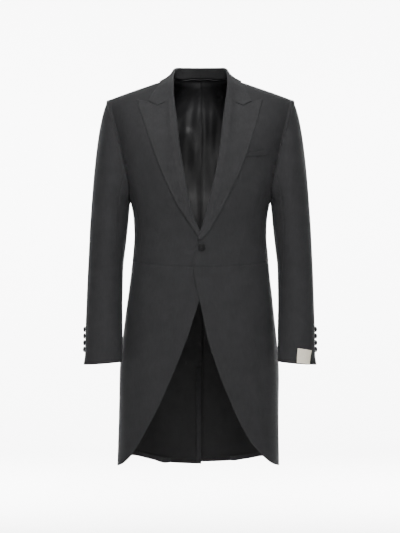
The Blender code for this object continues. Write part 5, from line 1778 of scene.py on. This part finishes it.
@dataclass(frozen=True)
class SleevePair:
    """The top and under sleeve of one half."""

    side: int
    cell: float = CELL
    roping: float = 0.0026
    roping_at: float = 0.0070
    sink: float = 0.0010
    sink_reach: float = 0.0026
    rim_reach: float = 0.006
    facing: float = 0.035
    roped_about: float = 20.0
    roped_fade: float = 0.35
    roping_spread: float = 0.6

    def panel(self, under: bool) -> Sheet:
        """Armhole, the two seams and the cuff, with the head's soft roll and the folds.

        Args:
            under: whether it is the under sleeve.

        Returns:
            The sheet.
        """
        form = SleeveForm(self.side)
        head = graded(form.head_length, self.cell, last=False)
        arm = graded(form.arm_length, self.cell, first=False)[1:]
        travel = np.concatenate([head, 1 + arm])
        front, hind = form.seams(travel)
        first, last = (front, hind + 360) if under else (hind, front)
        across = graded(float(last[0] - first[0]) * form.metres_per_degree, self.cell)
        turns = first[:, None] + (last - first)[:, None] * across[None]
        travels = np.broadcast_to(travel[:, None], turns.shape)
        points = form.point(turns, travels)
        normals = form.normal(turns, travels)
        away = lengths_to_edges(points)["bottom"]
        near = hill(away, self.rim_reach)[..., None]
        _, rim, agree = armhole_directions(self.side, turns[0])
        normals = unit(normals * (1 - near) + rim[None] * near)
        folds = SLEEVE_FOLDS[self.side]
        spots = form.flat(turns, travels)
        turned = 360.0 if under else 0.0
        starts, ends = [], []
        for fold in folds:
            shift = turned if fold.x < -90 and under else 0.0
            starts.append(form.flat(fold.x + shift, self.travel(form, fold.x, fold.z)))
            ends.append(form.flat(fold.end_x + shift, self.travel(form, fold.end_x, fold.end_z)))
        heights = relief(spots, starts, ends, folds)
        upper = np.cos(np.radians(turns - self.roped_about))
        upper = smooth_step(upper, -self.roped_fade, self.roped_fade)
        rope = hill(away - self.roping_at, self.roping_at * self.roping_spread)
        heights = heights + self.roping * upper * rope
        heights = heights - self.sink * smooth_step(agree, *AGREEMENT)[None] * hill(away, self.sink_reach)
        sewn = {"bottom": 1, "top": 0, "start": 1, "end": 1}
        return Sheet(points, normals, spots, sewn, heights, {"bottom": agree})

    @staticmethod
    def travel(form: SleeveForm, turn: float, z: float) -> float:
        """Travel of a fold's end, on the head as well as on the arm.

        Args:
            form: the sleeve's form.
            turn: the fold's turn in degrees.
            z: the end's height.

        Returns:
            The travel, 0 to 2.
        """
        if z < HEAD_END_Z:
            return float(form.travel_at(turn, z))
        return float(np.interp(z, [HEAD_END_Z, HEAD_TOP_Z], [1.0, 0.0]))

    def dress(self, finishes: Finishes) -> None:
        """Builds both panels.

        Args:
            finishes: the coat's materials.
        """
        hand = Pattern(self.side).hand
        for name, under, cut in (
            ("top_sleeve", False, Cut(0.235, 0.680, 0.1240)),
            ("under_sleeve", True, Cut(0.185, 0.555, 0.0620)),
        ):
            sheet = self.panel(under)
            piece = sheet.build(f"{name}_{hand}_cloth", SLEEVE_CLOTH, finishes.wool, finishes.lining,
                                self.facing)
            declare(piece, f"{name}_{hand}")


def fold_arc(centres: Array, towards: Array, outwards: Array, start_turn: Any,
             count: int) -> tuple[Array, Array]:
    """Arcs of a rolled edge, from behind the forepart's edge round to its outer face.

    Args:
        centres: centres of the arcs.
        towards: directions from the cloth out over its edge.
        outwards: outward normals.
        start_turn: angle at which an arc starts.
        count: points of an arc.

    Returns:
        Points of the arcs and the directions from their centres.
    """
    turns = np.radians(start_turn + (90 - start_turn) * np.linspace(0, 1, count))[..., None]
    radial = towards[:, None] * np.cos(turns) + outwards[:, None] * np.sin(turns)
    return centres[:, None] + radial * ROLL_RADIUS, radial


def gorge_arc(side: int, count: int) -> tuple[Array, Array, Array]:
    """The gorge's end that lapel and collar share: the fold's arc, its directions, and its place.

    Args:
        side: 1 for the wearer's left, -1 for the right.
        count: points of the arc.

    Returns:
        Points, directions and the foot's place.
    """
    pattern = Pattern(side)
    foot = pattern.roll(np.array([GORGE_TOP_Z, GORGE_TOP_Z - 0.004]))
    points, normals = pattern.seat(foot)
    towards = unit(np.cross(unit(points[0] - points[1]), normals[0]))
    towards *= -np.sign(towards[0] * side)
    centre = points[0] - normals[0] * BODY_WALL / 2
    arc, radial = fold_arc(centre[None], towards[None], normals[:1], FOLD_START, count)
    return arc[0], radial[0], foot[0]


@dataclass(frozen=True)
class Lapel:
    """A peaked lapel: rolled fold, leaf, gorge and peak."""

    side: int
    cell: float = FINE_CELL
    fold_points: int = 14
    roll_blend: float = 0.014
    wave: float = 0.0005
    wave_length: float = 0.031
    wave_shift: float = 1.3
    wave_fade: tuple[float, float] = (0.02, 0.05)
    spring_at: float = 0.008
    spring_fade: tuple[float, float] = (-0.375, -0.290)
    foot_fade: tuple[float, float] = (-0.335, -0.362)
    gorge_blend: float = 0.010
    seam_points: int = 18
    peak_length: float = 0.055

    def lift(self, points: Array, roll_points: Array) -> Array:
        """Height over the forepart: from the fold's own height to the clearance, wall and soft spring.

        Args:
            points: points in metres.
            roll_points: the fold's point on each row.

        Returns:
            Heights in metres.
        """
        away = np.linalg.norm(points - roll_points, axis=-1)
        spring = ROLL_SPRING * hill(away - self.spring_at, ROLL_SPRING_REACH / 2)
        full = LAPEL_CLEARANCE + LAPEL_WALL + spring * smooth_step(points[..., 2], *self.spring_fade)
        at_fold = ROLL_RADIUS - BODY_WALL / 2
        return at_fold + (full - at_fold) * smooth_step(away, 0, self.roll_blend)

    def sheet(self) -> Sheet:
        """Rows run from the fold to the outer edge, and columns from the foot to the gorge and the peak.

        Returns:
            The sheet.
        """
        p = Pattern(self.side)
        height = GORGE_TOP_Z - LAPEL_FOOT_Z[self.side]
        shares = graded(height, self.cell)
        zs = LAPEL_FOOT_Z[self.side] + height * shares
        start = p.roll(zs)
        end = smooth_line([FORM.place(q.x, q.z) for q in LAPEL_EDGE[self.side]], run_of(start))
        arc, radial, foot = gorge_arc(self.side, self.fold_points)
        notch = FORM.place(NOTCH_IN.x * self.side, NOTCH_IN.z)
        seam = smooth_line([foot, notch], np.linspace(0, 1, self.seam_points))
        corner = [notch, FORM.place(NOTCH_OUT.x * self.side, NOTCH_OUT.z), end[-1]]
        peak = smooth_line(corner, graded(self.peak_length, self.cell, first=False))
        top = np.concatenate([seam, peak[1:]])
        bottom = smooth_line([start[0], end[0]], run_of(top))
        base, normals = p.seat(blend_edges(bottom, top, start, end))
        leaf = base + normals * self.lift(base, base[:, :1])[..., None]
        along = unit(np.gradient(base[:, 0], axis=0))
        towards = unit(np.cross(along, normals[:, 0]))
        towards *= np.where(towards[:, :1] * self.side > 0, -1, 1)
        centres = base[:, 0] - normals[:, 0] * BODY_WALL / 2
        at_foot = smooth_step(zs, *self.foot_fade) if self.side > 0 else np.zeros(len(zs))
        starts = (FOLD_START + (FOLD_START_AT_FOOT - FOLD_START) * at_foot)[:, None]
        arcs, radials = fold_arc(centres, towards, normals[:, 0], starts, self.fold_points)
        near_gorge = smooth_step(zs, GORGE_TOP_Z - self.gorge_blend, GORGE_TOP_Z)[:, None, None]
        arcs = arcs * (1 - near_gorge) + (arc[None] + (centres - centres[-1])[:, None]) * near_gorge
        radials = unit(radials * (1 - near_gorge) + radial[None] * near_gorge)
        grid = np.concatenate([arcs, leaf[:, 1:]], axis=1)
        facing = grid_normals(grid, np.concatenate([radials, normals[:, 1:]], axis=1))
        facing[:, :self.fold_points] = radials
        sewn_points = self.fold_points + self.seam_points - 1
        sewn_top = np.concatenate([np.ones(sewn_points), np.zeros(len(peak) - 1)])
        away = lengths_to_edges(grid)
        flat = np.stack([away["start"], away["bottom"]], axis=-1)
        waves = np.sin(away["bottom"] / self.wave_length + self.wave_shift * self.side)
        heights = self.wave * waves * smooth_step(away["start"], *self.wave_fade)
        sewn = {"bottom": 0, "top": sewn_top, "start": 0, "end": 0}
        return Sheet(grid, facing, flat, sewn, heights, {"top": 0}, {"top": sewn_top * GORGE_GAP})

    def dress(self, finishes: Finishes) -> None:
        """Builds the lapel.

        Args:
            finishes: the coat's materials.
        """
        hand = Pattern(self.side).hand
        # The lapel takes the lighter copy of the wool, painted light.
        wool = finishes.collar_wool
        piece = self.sheet().build(f"lapel_{hand}_cloth", LAPEL_CLOTH, wool, wool)
        declare(piece, f"lapel_{hand}")


@dataclass(frozen=True)
class Collar:
    """Stand, fold and fall in one band round the neck."""

    stations: int = 96
    stand_points: int = 12
    fold_points: int = 20
    fall_points: int = 34
    gorge_share: float = 4 / 7
    crest_share: float = 0.6
    roll_joins_from: float = 0.70
    fall_joins_from: float = 0.60
    painted_shade_fold_share: float = 0.4
    seam_ends_over: float = 0.02

    def gorge(self, side: int, share: Array) -> Array:
        """Places of the fall's end along the gorge and then along the collar's own corner.

        Args:
            side: 1 for the wearer's left, -1 for the right.
            share: shares of the way from the fold to the fall's tip.

        Returns:
            Array of (girth, drop) pairs.
        """
        foot = Pattern(side).roll(np.array([GORGE_TOP_Z]))[0]
        notch = FORM.place(NOTCH_IN.x * side, NOTCH_IN.z)
        tip = FORM.place(FALL_EDGE[-1].x * side, FALL_EDGE[-1].z)
        seam = smooth_line([foot, notch], np.clip(share / self.gorge_share, 0, 1))
        past = (share - self.gorge_share) / (1 - self.gorge_share)
        corner = smooth_line([notch, tip], np.clip(past, 0, 1))
        return np.where(share[:, None] <= self.gorge_share, seam, corner)

    def half(self, side: int) -> Array:
        """Grid of one half, centre back to gorge, from the stand's foot to the fall's edge.

        Args:
            side: 1 for the wearer's left, -1 for the right.

        Returns:
            Grid of points in metres.
        """
        folded = self.stand_points + self.fold_points
        arc, _, _ = gorge_arc(side, folded)
        shares = np.linspace(0, 1, self.stations)
        crest_end = arc[round(self.crest_share * (folded - 1))]
        crests = smooth_line([(c.x * side, c.y, c.z) for c in CREST] + [crest_end], shares)
        edge = [FORM.point(FORM.place(q.x * side, q.z, q.back)) for q in FALL_EDGE]
        edges = smooth_line(edge, shares)
        feet = FORM.point(Pattern(side).neck(shares))
        normals = FORM.normal(feet)
        inward = unit(np.cross(unit(np.gradient(feet, axis=0)), normals))
        inward *= np.where(np.sum(inward * (crests - feet), axis=-1, keepdims=True) < 0, -1, 1)
        near = smooth_step(shares, self.roll_joins_from, 1.0)[:, None]
        feet = feet + inward * STAND_INSET + normals * STAND_LIFT
        to_stand, to_fall = unit(feet - crests), unit(edges - crests)
        along = unit(np.gradient(crests, axis=0))
        up = -unit(to_stand + to_fall)
        up = unit(up - along * np.sum(up * along, axis=-1, keepdims=True))
        across = np.cross(along, up)
        across *= np.where(np.sum(across * (to_fall - to_stand), axis=-1, keepdims=True) < 0, -1, 1)
        arcs, _ = fold_arc(crests - up * ROLL_RADIUS, up, across, -90, self.fold_points)
        rise = np.linspace(0, 1, self.stand_points + 1)[None, :-1, None]
        stand = feet[:, None] + (arcs[:, :1] - feet[:, None]) * rise
        rolled = np.concatenate([stand, arcs], axis=1)
        at_gorge = arc[None] + (crests - crests[-1])[:, None]
        rolled = rolled * (1 - near[..., None]) + at_gorge * near[..., None]
        w = np.linspace(0, 1, self.fall_points + 1)[None, 1:, None]
        fall = rolled[:, -1:] * (1 - w) + edges[:, None] * w
        gorge = FORM.point(self.gorge(side, w[0, :, 0]))
        gorge = gorge + FORM.normal(gorge) * (LAPEL_CLEARANCE + LAPEL_WALL)
        joins = smooth_step(shares, self.fall_joins_from, 1.0)[:, None, None]
        fall = fall + (gorge - fall[-1])[None] * joins
        fall = fall + FORM.normal(fall) * FALL_BULGE * 4 * w * (1 - w)
        clearance = LAPEL_CLEARANCE + LAPEL_WALL + COLLAR_EASE * (1 - near) * (1 - w[..., 0] ** 3)
        return np.concatenate([rolled, FORM.lift_clear(fall, clearance)], axis=1)

    def sheet(self) -> Sheet:
        """Both halves, joined at the centre back.

        Returns:
            The sheet.
        """
        grid = np.concatenate([self.half(-1)[::-1], self.half(1)[1:]])
        outward = np.zeros_like(grid)
        outward[:, -self.fall_points:] = FORM.normal(grid[:, -self.fall_points:])
        facing = grid_normals(grid, outward)
        away = lengths_to_edges(grid)
        flat = np.stack([away["bottom"], away["start"]], axis=-1)
        folded = self.stand_points + self.fold_points
        share = np.linspace(0, 1, self.fall_points + 1)[1:]
        to_corner = smooth_step(share, self.gorge_share, self.gorge_share - self.seam_ends_over)
        sewn = np.concatenate([np.ones(folded), to_corner])
        return Sheet(grid, facing, flat, {"bottom": sewn, "top": sewn, "start": 1, "end": 0}, 0.0,
                     {"bottom": 0, "top": 0}, {"bottom": sewn * GORGE_GAP, "top": sewn * GORGE_GAP})

    def dress(self, finishes: Finishes) -> None:
        """Builds the collar in the lighter wool, painted light; its stand and inner fold take darker wool,
        painted shade.

        Args:
            finishes: the coat's materials.
        """
        sheet = self.sheet()
        piece = sheet.build("collar_cloth", LAPEL_CLOTH, finishes.collar_wool, finishes.collar_wool)
        piece.data.materials.append(finishes.stand_wool)
        rows, cols = (count - 1 for count in sheet.points.shape[:2])
        slots = np.zeros(len(piece.data.polygons), dtype=np.int32)
        # The stand and the inner share of the fold take the darker wool: painted shade.
        dark = self.stand_points + round(self.fold_points * self.painted_shade_fold_share)
        slots[:rows * cols].reshape(rows, cols)[:, :dark] = 2
        piece.data.polygons.foreach_set("material_index", slots)
        declare(piece, "collar")


@dataclass(frozen=True)
class Lining:
    """The satin inside the back and the tails of one half, with its centre pleat and wrinkles."""

    side: int
    cell: float = CELL
    width: float = 0.22
    pleat: float = 0.0028
    pleat_reach: float = 0.010
    most: float = 0.0026
    tuck: float = 0.0003
    tuck_reach: float = 0.009
    off_armhole: float = 0.006
    under_armhole: float = 0.002
    off_shoulder: float = 0.010
    ease_fade: tuple[float, float] = (-0.13, -0.04)
    pleat_fade: tuple[float, float] = (-0.62, -0.50)
    far_pleat: float = 0.4

    def sheet(self) -> Sheet:
        """From the centre pleat round to the side, held inside the cloth.

        Returns:
            The sheet.
        """
        p = Pattern(self.side)
        hem, neck = float(p.hem_z(180)) + LINING_HEM_RISE, NECK_BACK_Z - LINING_MARGIN
        zs = hem + (neck - hem) * graded(neck - hem, self.cell)
        in_vent = smooth_step(zs, VENT_TOP_Z + VENT_OPENS, VENT_TOP_Z)
        seam_x = LINING_SEAM_X + LINING_SEAM_GAP * (1 if self.side > 0 else 0)
        inner_x = LINING_SEAM_X if self.side > 0 else FACING_INNER_X
        edge_x = inner_x + 2 * LINING_SEAM_GAP * self.side
        start = p.centre(seam_x + (edge_x - seam_x) * in_vent, zs)
        arm = p.armhole(np.arange(BACK_SEAM_TURN, 359, 15))
        solid = FORM.point(arm)
        arm_x = (np.abs(solid[:, 0]) - self.off_armhole) * self.side
        arm = FORM.place(arm_x, solid[:, 2] - self.under_armhole, back=True)
        side_points = [FORM.level(q.angle * self.side, q.z) for q in LINING_SIDE]
        shoulder_x = (SHOULDER_POINT_X - self.off_shoulder) * self.side
        shoulder_z = column(SHOULDER, "x", "z", abs(shoulder_x)) - LINING_MARGIN
        shoulder = FORM.place(shoulder_x, shoulder_z, back=True)
        end = smooth_line(side_points + list(arm) + [shoulder], run_of(FORM.point(start)))
        across = graded(self.width, self.cell)
        bottom = p.hem(start[0], end[0], across, LINING_HEM_RISE)
        start[0], end[0] = bottom[0], bottom[-1]
        xs = seam_x + (shoulder_x - seam_x) * across
        tops = np.minimum(NECK_BACK_Z, column(SHOULDER, "x", "z", np.abs(xs))) - LINING_MARGIN
        top = p.centre(xs, tops)
        top[0], top[-1] = start[-1], end[-1]
        places = blend_edges(bottom, top, start, end)
        at_places = FORM.point(places)
        ease = LINING_EASE_AT_TOP * smooth_step(at_places[..., 2], *self.ease_fade)
        tucked = 1 - hill(lengths_to_edges(at_places)["top"], self.tuck_reach)
        points, normals = p.seat(places, -BODY_WALL - (LINING_CLEARANCE + ease) * tucked - self.tuck)
        folds = LINING_FOLDS[self.side]
        starts = [p.spot(f.view, f.x, f.z) for f in folds]
        ends = [p.spot(f.view, f.end_x, f.end_z) for f in folds]
        inward = relief(places, starts, ends, folds)
        away = lengths_to_edges(points)["start"]
        pleated = smooth_step(points[..., 2], *self.pleat_fade)
        if self.side < 0:
            inward = inward + self.pleat * hill(away, self.pleat_reach) * pleated
        else:
            inward = inward - self.pleat * self.far_pleat * hill(away, self.pleat_reach) * pleated
        heights = np.minimum(-inward, self.most)
        sewn = {"bottom": 0.6, "top": 1, "start": 1 if self.side > 0 else 0.2, "end": 1}
        return Sheet(points, normals, places * (1, -1), sewn, heights)

    def dress(self, finishes: Finishes) -> None:
        """Builds the lining of this half.

        Args:
            finishes: the coat's materials.
        """
        hand = Pattern(self.side).hand
        piece = self.sheet().build(f"lining_{hand}_satin", LINING_CLOTH, finishes.lining, finishes.lining)
        declare(piece, f"lining_{hand}")


def patch(corners: Sequence[Array], side: int, out: float, cell: float) -> Sheet:
    """A small sheet laid on the body between four places, given round it from its lower inner corner.

    Args:
        corners: four places.
        side: 1 for the wearer's left, -1 for the right.
        out: distance to move out, in metres.
        cell: width of a cell in metres.

    Returns:
        The sheet.
    """
    lower = smooth_line([corners[0], corners[1]], np.linspace(0, 1, 50))
    rise = smooth_line([corners[0], corners[3]], np.linspace(0, 1, 50))
    across = graded(Pattern.length(lower), cell)
    upward = graded(Pattern.length(rise), cell)
    bottom = smooth_line([corners[0], corners[1]], across)
    top = smooth_line([corners[3], corners[2]], across)
    start = smooth_line([corners[0], corners[3]], upward)
    end = smooth_line([corners[1], corners[2]], upward)
    places = blend_edges(bottom, top, start, end)
    points, normals = Pattern(side).seat(places, out)
    return Sheet(points, normals, places * (1, -1), {"bottom": 0, "top": 0, "start": 0, "end": 0})


@dataclass(frozen=True)
class BreastWelt:
    """Welt of the breast pocket on the wearer's left, just past the lapel's edge."""

    top_z: float = -0.1722
    height: float = 0.0122
    rise: float = 0.0084
    outer_x: float = 0.1690
    lapel_margin: float = 0.0012
    wall: float = 0.0012

    def dress(self, finishes: Finishes) -> None:
        """Builds the welt.

        Args:
            finishes: the coat's materials.
        """
        outer = np.array([self.top_z - self.height, self.top_z])
        inner = outer - self.rise
        inner_x = column(LAPEL_EDGE[1], "z", "x", inner) + self.lapel_margin
        lower = [FORM.place(inner_x[0], inner[0]), FORM.place(self.outer_x + 0.001, outer[0])]
        corners = lower + [FORM.place(self.outer_x, outer[1]), FORM.place(inner_x[1], inner[1])]
        sheet = patch(corners, 1, TRIM_CLEARANCE + self.wall, 0.0022)
        sheet.sewn = {"bottom": 1, "top": 0, "start": 0, "end": 1}
        cloth = Cloth(self.wall, dip=0.0004, swell=0.0006, swell_at=0.0015, corner=0.0004)
        piece = sheet.build("breast_welt_cloth", cloth, finishes.wool, finishes.wool)
        declare(piece, "breast_welt")


@dataclass(frozen=True)
class VentFacing:
    """Strip of cloth along the vent's inner edge, inside the wearer's right back."""

    wall: float = 0.0010
    cell: float = 0.0028
    inset: float = 0.0006

    def dress(self, finishes: Finishes) -> None:
        """Builds the strip.

        Args:
            finishes: the coat's materials.
        """
        p = Pattern(-1)
        hem = float(p.hem_z(180))
        outer_x = VENT_UNDERLAP - self.inset
        spots = np.array([(FACING_INNER_X, hem), (outer_x, hem), (outer_x, FACING_TOP_Z),
                          (FACING_INNER_X, FACING_TOP_Z)])
        sheet = patch(p.centre(spots[:, 0], spots[:, 1]), -1, -BODY_WALL - TRIM_CLEARANCE, self.cell)
        cloth = Cloth(self.wall, corner=0.0005)
        piece = sheet.build("vent_facing_cloth", cloth, finishes.wool, finishes.wool)
        declare(piece, "vent_facing")


@dataclass(frozen=True)
class SleeveLabel:
    """Plain label sewn on the left sleeve above the cuff."""

    inner: tuple[tuple[float, float], ...] = ((93.0, -0.6968), (88.5, -0.6612))
    outer: tuple[tuple[float, float], ...] = ((54.0, -0.7003), (41.0, -0.6672))
    wall: float = 0.0010
    buckle: float = 0.0009

    def at(self, turn: Array, z: Array, out: Array) -> tuple[Array, Array]:
        """Points and normals over the left sleeve at turns and heights.

        Args:
            turn: turns round the sleeve in degrees.
            z: heights in metres.
            out: distance to move out, in metres.

        Returns:
            Points and their normals.
        """
        form = SleeveForm(1)
        travel = form.travel_at(turn, z)
        normals = form.normal(turn, travel)
        return form.point(turn, travel) + normals * out[..., None], normals

    def dress(self, finishes: Finishes) -> None:
        """Builds the label.

        Args:
            finishes: the coat's materials.
        """
        across, rise = np.meshgrid(np.linspace(0, 1, 52), np.linspace(0, 1, 34))
        inner, outer = np.array(self.inner), np.array(self.outer)
        at_inner = inner[0] + (inner[1] - inner[0]) * rise[..., None]
        at_outer = outer[0] + (outer[1] - outer[0]) * rise[..., None]
        turn, z = np.moveaxis(at_outer + (at_inner - at_outer) * across[..., None], -1, 0)
        buckled = self.buckle * hill(across - 0.57 + 0.12 * rise, 0.16) * smooth_step(rise, 0.98, 0.5)
        points, normals = self.at(turn, z, TRIM_CLEARANCE + self.wall + buckled)
        sheet = Sheet(points, normals, measured_flat(points), {"bottom": 0, "top": 0, "start": 0, "end": 0})
        cloth = Cloth(self.wall, swell=0.00012, corner=0.0005)
        piece = sheet.build("sleeve_label_cloth", cloth, finishes.label, finishes.label)
        declare(piece, "sleeve_label")


def turned(name: str, profile: Array, steps: int, seat: Array, normal: Array,
           material: bpy.types.Material) -> bpy.types.Object:
    """A piece turned from a profile of (radius, height) pairs that starts and ends on its axis.

    Args:
        name: name of the piece.
        profile: pairs from the top pole to the bottom pole.
        steps: points round it.
        seat: point on the cloth under it.
        normal: direction of its axis.
        material: its finish.

    Returns:
        The piece, closed at both poles.
    """
    across = unit(np.cross(normal, (0.0, 0.0, 1.0)))
    up = np.cross(across, normal)
    angle = np.linspace(0, 2 * math.pi, steps, endpoint=False)
    round_it = across[None] * np.cos(angle)[:, None] + up[None] * np.sin(angle)[:, None]
    ring = profile[1:-1]
    points = round_it[None] * ring[:, 0, None, None] + (normal * ring[:, 1, None])[:, None]
    poles = np.stack([normal * profile[0, 1], normal * profile[-1, 1]])
    vertices = seat + np.concatenate([points.reshape(-1, 3), poles])
    index = np.arange(len(ring) * steps).reshape(len(ring), steps)
    after = np.roll(index, -1, axis=1)
    sides = np.stack([index[:-1], after[:-1], after[1:], index[1:]], axis=-1).reshape(-1, 4).tolist()
    top, bottom = len(ring) * steps, len(ring) * steps + 1
    caps = [[top, b, a] for a, b in zip(index[0], after[0])]
    caps += [[bottom, a, b] for a, b in zip(index[-1], after[-1])]
    faces = [[int(k) for k in face] for face in sides + caps]
    plane = np.stack([across, up], axis=1)
    flat = np.concatenate([(points - poles[0]).reshape(-1, 3) @ plane, np.zeros((2, 2))])
    return put_mesh(name, vertices, faces, [material], flat)


@dataclass(frozen=True)
class Buttons:
    """The covered front button and the four on each cuff."""

    front_x: float = 0.0027
    front_z: float = -0.4125
    front_radius: float = 0.0085
    cuff_radius: float = 0.0070
    first_z: float = -0.6168
    pitch: float = 0.0163
    cuff_turn: float = 4.0
    rise: float = 0.0006
    front_height: float = 0.0044
    cuff_height: float = 0.0064
    cuff_seat: float = -0.0012

    def shank(self, radius: float) -> list[tuple[float, float]]:
        """The shank under a button's back."""
        return [(radius * 0.27, -self.rise * 0.5), (radius * 0.27, -self.rise), (0.0, -self.rise)]

    def domed(self, radius: float, height: float) -> Array:
        """A full dome, a thin rim, the flat back and the shank.

        Args:
            radius: radius in metres.
            height: height in metres.

        Returns:
            The profile.
        """
        dome = [(radius * math.sin(t), height * (0.26 + 0.74 * math.cos(t)))
                for t in np.linspace(0, math.pi / 2, 16)]
        back = [(radius * 0.985, height * 0.18), (radius * 0.93, height * 0.11),
                (radius * 0.30, height * 0.10)]
        return np.array(dome + back + self.shank(radius)) + (0.0, self.rise)

    def ringed(self, radius: float, height: float) -> Array:
        """A low domed middle, a pressed ring, a rounded rim, the flat back and the shank.

        Args:
            radius: radius in metres.
            height: height in metres.

        Returns:
            The profile.
        """
        dome = [(radius * 0.66 * math.sin(t), height * (0.86 + 0.14 * math.cos(t)))
                for t in np.linspace(0, math.pi / 2, 8)]
        ring = [(radius * 0.70, height * 0.76), (radius * 0.745, height * 0.77)]
        rim = [(radius * (0.84 + 0.16 * math.sin(t)), height * (0.48 + 0.34 * math.cos(t)))
               for t in np.linspace(-0.5, 2.7, 12)]
        back = [(radius * 0.80, 0.0002), (radius * 0.30, 0.0001)]
        return np.array(dome + ring + rim + back + self.shank(radius)) + (0.0, self.rise)

    def dress(self, finishes: Finishes) -> None:
        """Builds the buttons where their solids are.

        Args:
            finishes: the coat's materials.
        """
        seat, normals = Pattern(1).seat(FORM.place(self.front_x, self.front_z)[None])
        spot = seat[0] + normals[0] * TRIM_CLEARANCE
        profile = self.ringed(self.front_radius, self.front_height)
        piece = turned("front_button_covered", profile, 72, spot, normals[0], finishes.button)
        declare(piece, "front_button")
        for side in (1, -1):
            form, hand = SleeveForm(side), Pattern(side).hand
            for number in range(4):
                z = self.first_z - self.pitch * number
                turn = np.array([self.cuff_turn])
                travel = form.travel_at(turn, z)
                seat, normal = form.point(turn, travel)[0], form.normal(turn, travel)[0]
                name = f"cuff_button_{hand}_{number + 1}"
                piece = turned(f"{name}_covered", self.domed(self.cuff_radius, self.cuff_height), 56,
                               seat + normal * self.cuff_seat, normal, finishes.button)
                declare(piece, name)


@dataclass(frozen=True)
class Studio:
    """Pale floor and sweep, soft lights and the camera."""

    distance: float = 4.5
    eye_x: float = -0.001
    eye_z: float = -0.46125
    seen_height: float = 1.3325
    sensor: float = 36.0
    floor_z: float = -1.45
    world_strength: float = 0.11
    snoot: float = 1.9

    def camera(self) -> None:
        """A level camera in front, whose long side sees the photograph's height at the coat's middle."""
        data = bpy.data.cameras.new("camera")
        data.sensor_width = self.sensor
        data.lens = self.sensor * self.distance / self.seen_height
        eye = bpy.data.objects.new("camera", data)
        eye.location = (self.eye_x, -self.distance, self.eye_z)
        eye.rotation_euler = (math.pi / 2, 0, 0)
        bpy.context.scene.collection.objects.link(eye)
        bpy.context.scene.camera = eye

    def light(self, name: str, place: tuple[float, float, float], size: float, power: float,
              target: tuple[float, float, float] = (0.0, 0.0, -0.42), cone: float = 0.0) -> None:
        """Aims a light.

        Args:
            name: name of the light.
            place: where it stands.
            size: side of a soft square, or radius of a spot.
            power: its power in watts.
            target: point that it faces.
            cone: full angle of a spot in degrees; 0 makes a soft square.
        """
        data = bpy.data.lights.new(name, "SPOT" if cone else "AREA")
        data.energy = power
        if cone:
            data.shadow_soft_size = size
            data.spot_size = math.radians(cone)
            data.spot_blend = 0.7
        else:
            data.shape = "SQUARE"
            data.size = size
        lamp = bpy.data.objects.new(name, data)
        lamp.location = place
        aim = np.array(target) - np.array(place)
        yaw = math.atan2(aim[1], aim[0]) - math.pi / 2
        pitch = math.atan2(float(np.hypot(aim[0], aim[1])), -aim[2])
        lamp.rotation_euler = (pitch, 0, yaw)
        bpy.context.scene.collection.objects.link(lamp)

    def sweep(self) -> None:
        """Floor that curves up into a wall behind: a quarter circle between two planes."""
        bend, half, back = 1.2, 9.0, 5.0
        arc = np.linspace(0, math.pi / 2, 24)
        ys = np.concatenate([[-9.0, 0.0], back + bend * np.sin(arc), [back + bend]])
        zs = self.floor_z + np.concatenate([[0.0, 0.0], bend * (1 - np.cos(arc)), [9.0]])
        xs = np.linspace(-half, half, 3)
        points = np.stack(np.broadcast_arrays(xs[None], ys[:, None], zs[:, None]), axis=-1)
        index = np.arange(points.shape[0] * 3).reshape(-1, 3)
        faces = squares(index)
        board = Board("pale_floor")
        grain = board.noise(3.0, 2)
        colour = board.mixed(grain, (0.90, 0.90, 0.90), (0.93, 0.93, 0.93))
        material = board.finish(base_color=colour, roughness=0.9)
        put_mesh("studio_floor", points.reshape(-1, 3), faces, [material])

    def build(self) -> None:
        """Sets up floor, world, lights and camera."""
        self.sweep()
        world = bpy.data.worlds.new("studio")
        world.use_nodes = True
        world.node_tree.nodes["Background"].inputs[0].default_value = (1, 1, 1, 1)
        world.node_tree.nodes["Background"].inputs[1].default_value = self.world_strength
        bpy.context.scene.world = world
        self.light("key", (-0.05, -2.1, 1.7), 1.4, 166, (0.0, 0.0, -0.20))
        self.light("fill", (0.3, -4.4, 0.0), 2.2, 30)
        self.light("top", (0.0, 1.4, 3.0), 1.8, 30)
        self.light("back", (0.6, 3.4, 1.2), 1.8, 60)
        self.light("neck_spot", (-0.10, -2.6, 1.3), 0.04, 1500, (-0.018, 0.09, -0.036), self.snoot)
        self.light("wall_left", (-2.2, 2.6, 0.9), 1.6, 900, (-0.6, 6.2, -0.4))
        self.light("wall_right", (2.2, 2.6, 0.9), 1.6, 900, (0.6, 6.2, -0.4))
        self.camera()


def main() -> None:
    """Builds the studio, the finishes and every piece of the coat."""
    logging.basicConfig(level=logging.INFO, format="%(message)s")
    Studio().build()
    finishes = Finishes.make()
    for side in (1, -1):
        BodyPanels(side).dress(finishes)
        SleevePair(side).dress(finishes)
        Lapel(side).dress(finishes)
        Lining(side).dress(finishes)
    Collar().dress(finishes)
    BreastWelt().dress(finishes)
    VentFacing().dress(finishes)
    SleeveLabel().dress(finishes)
    Buttons().dress(finishes)


if __name__ == "__main__":
    main()
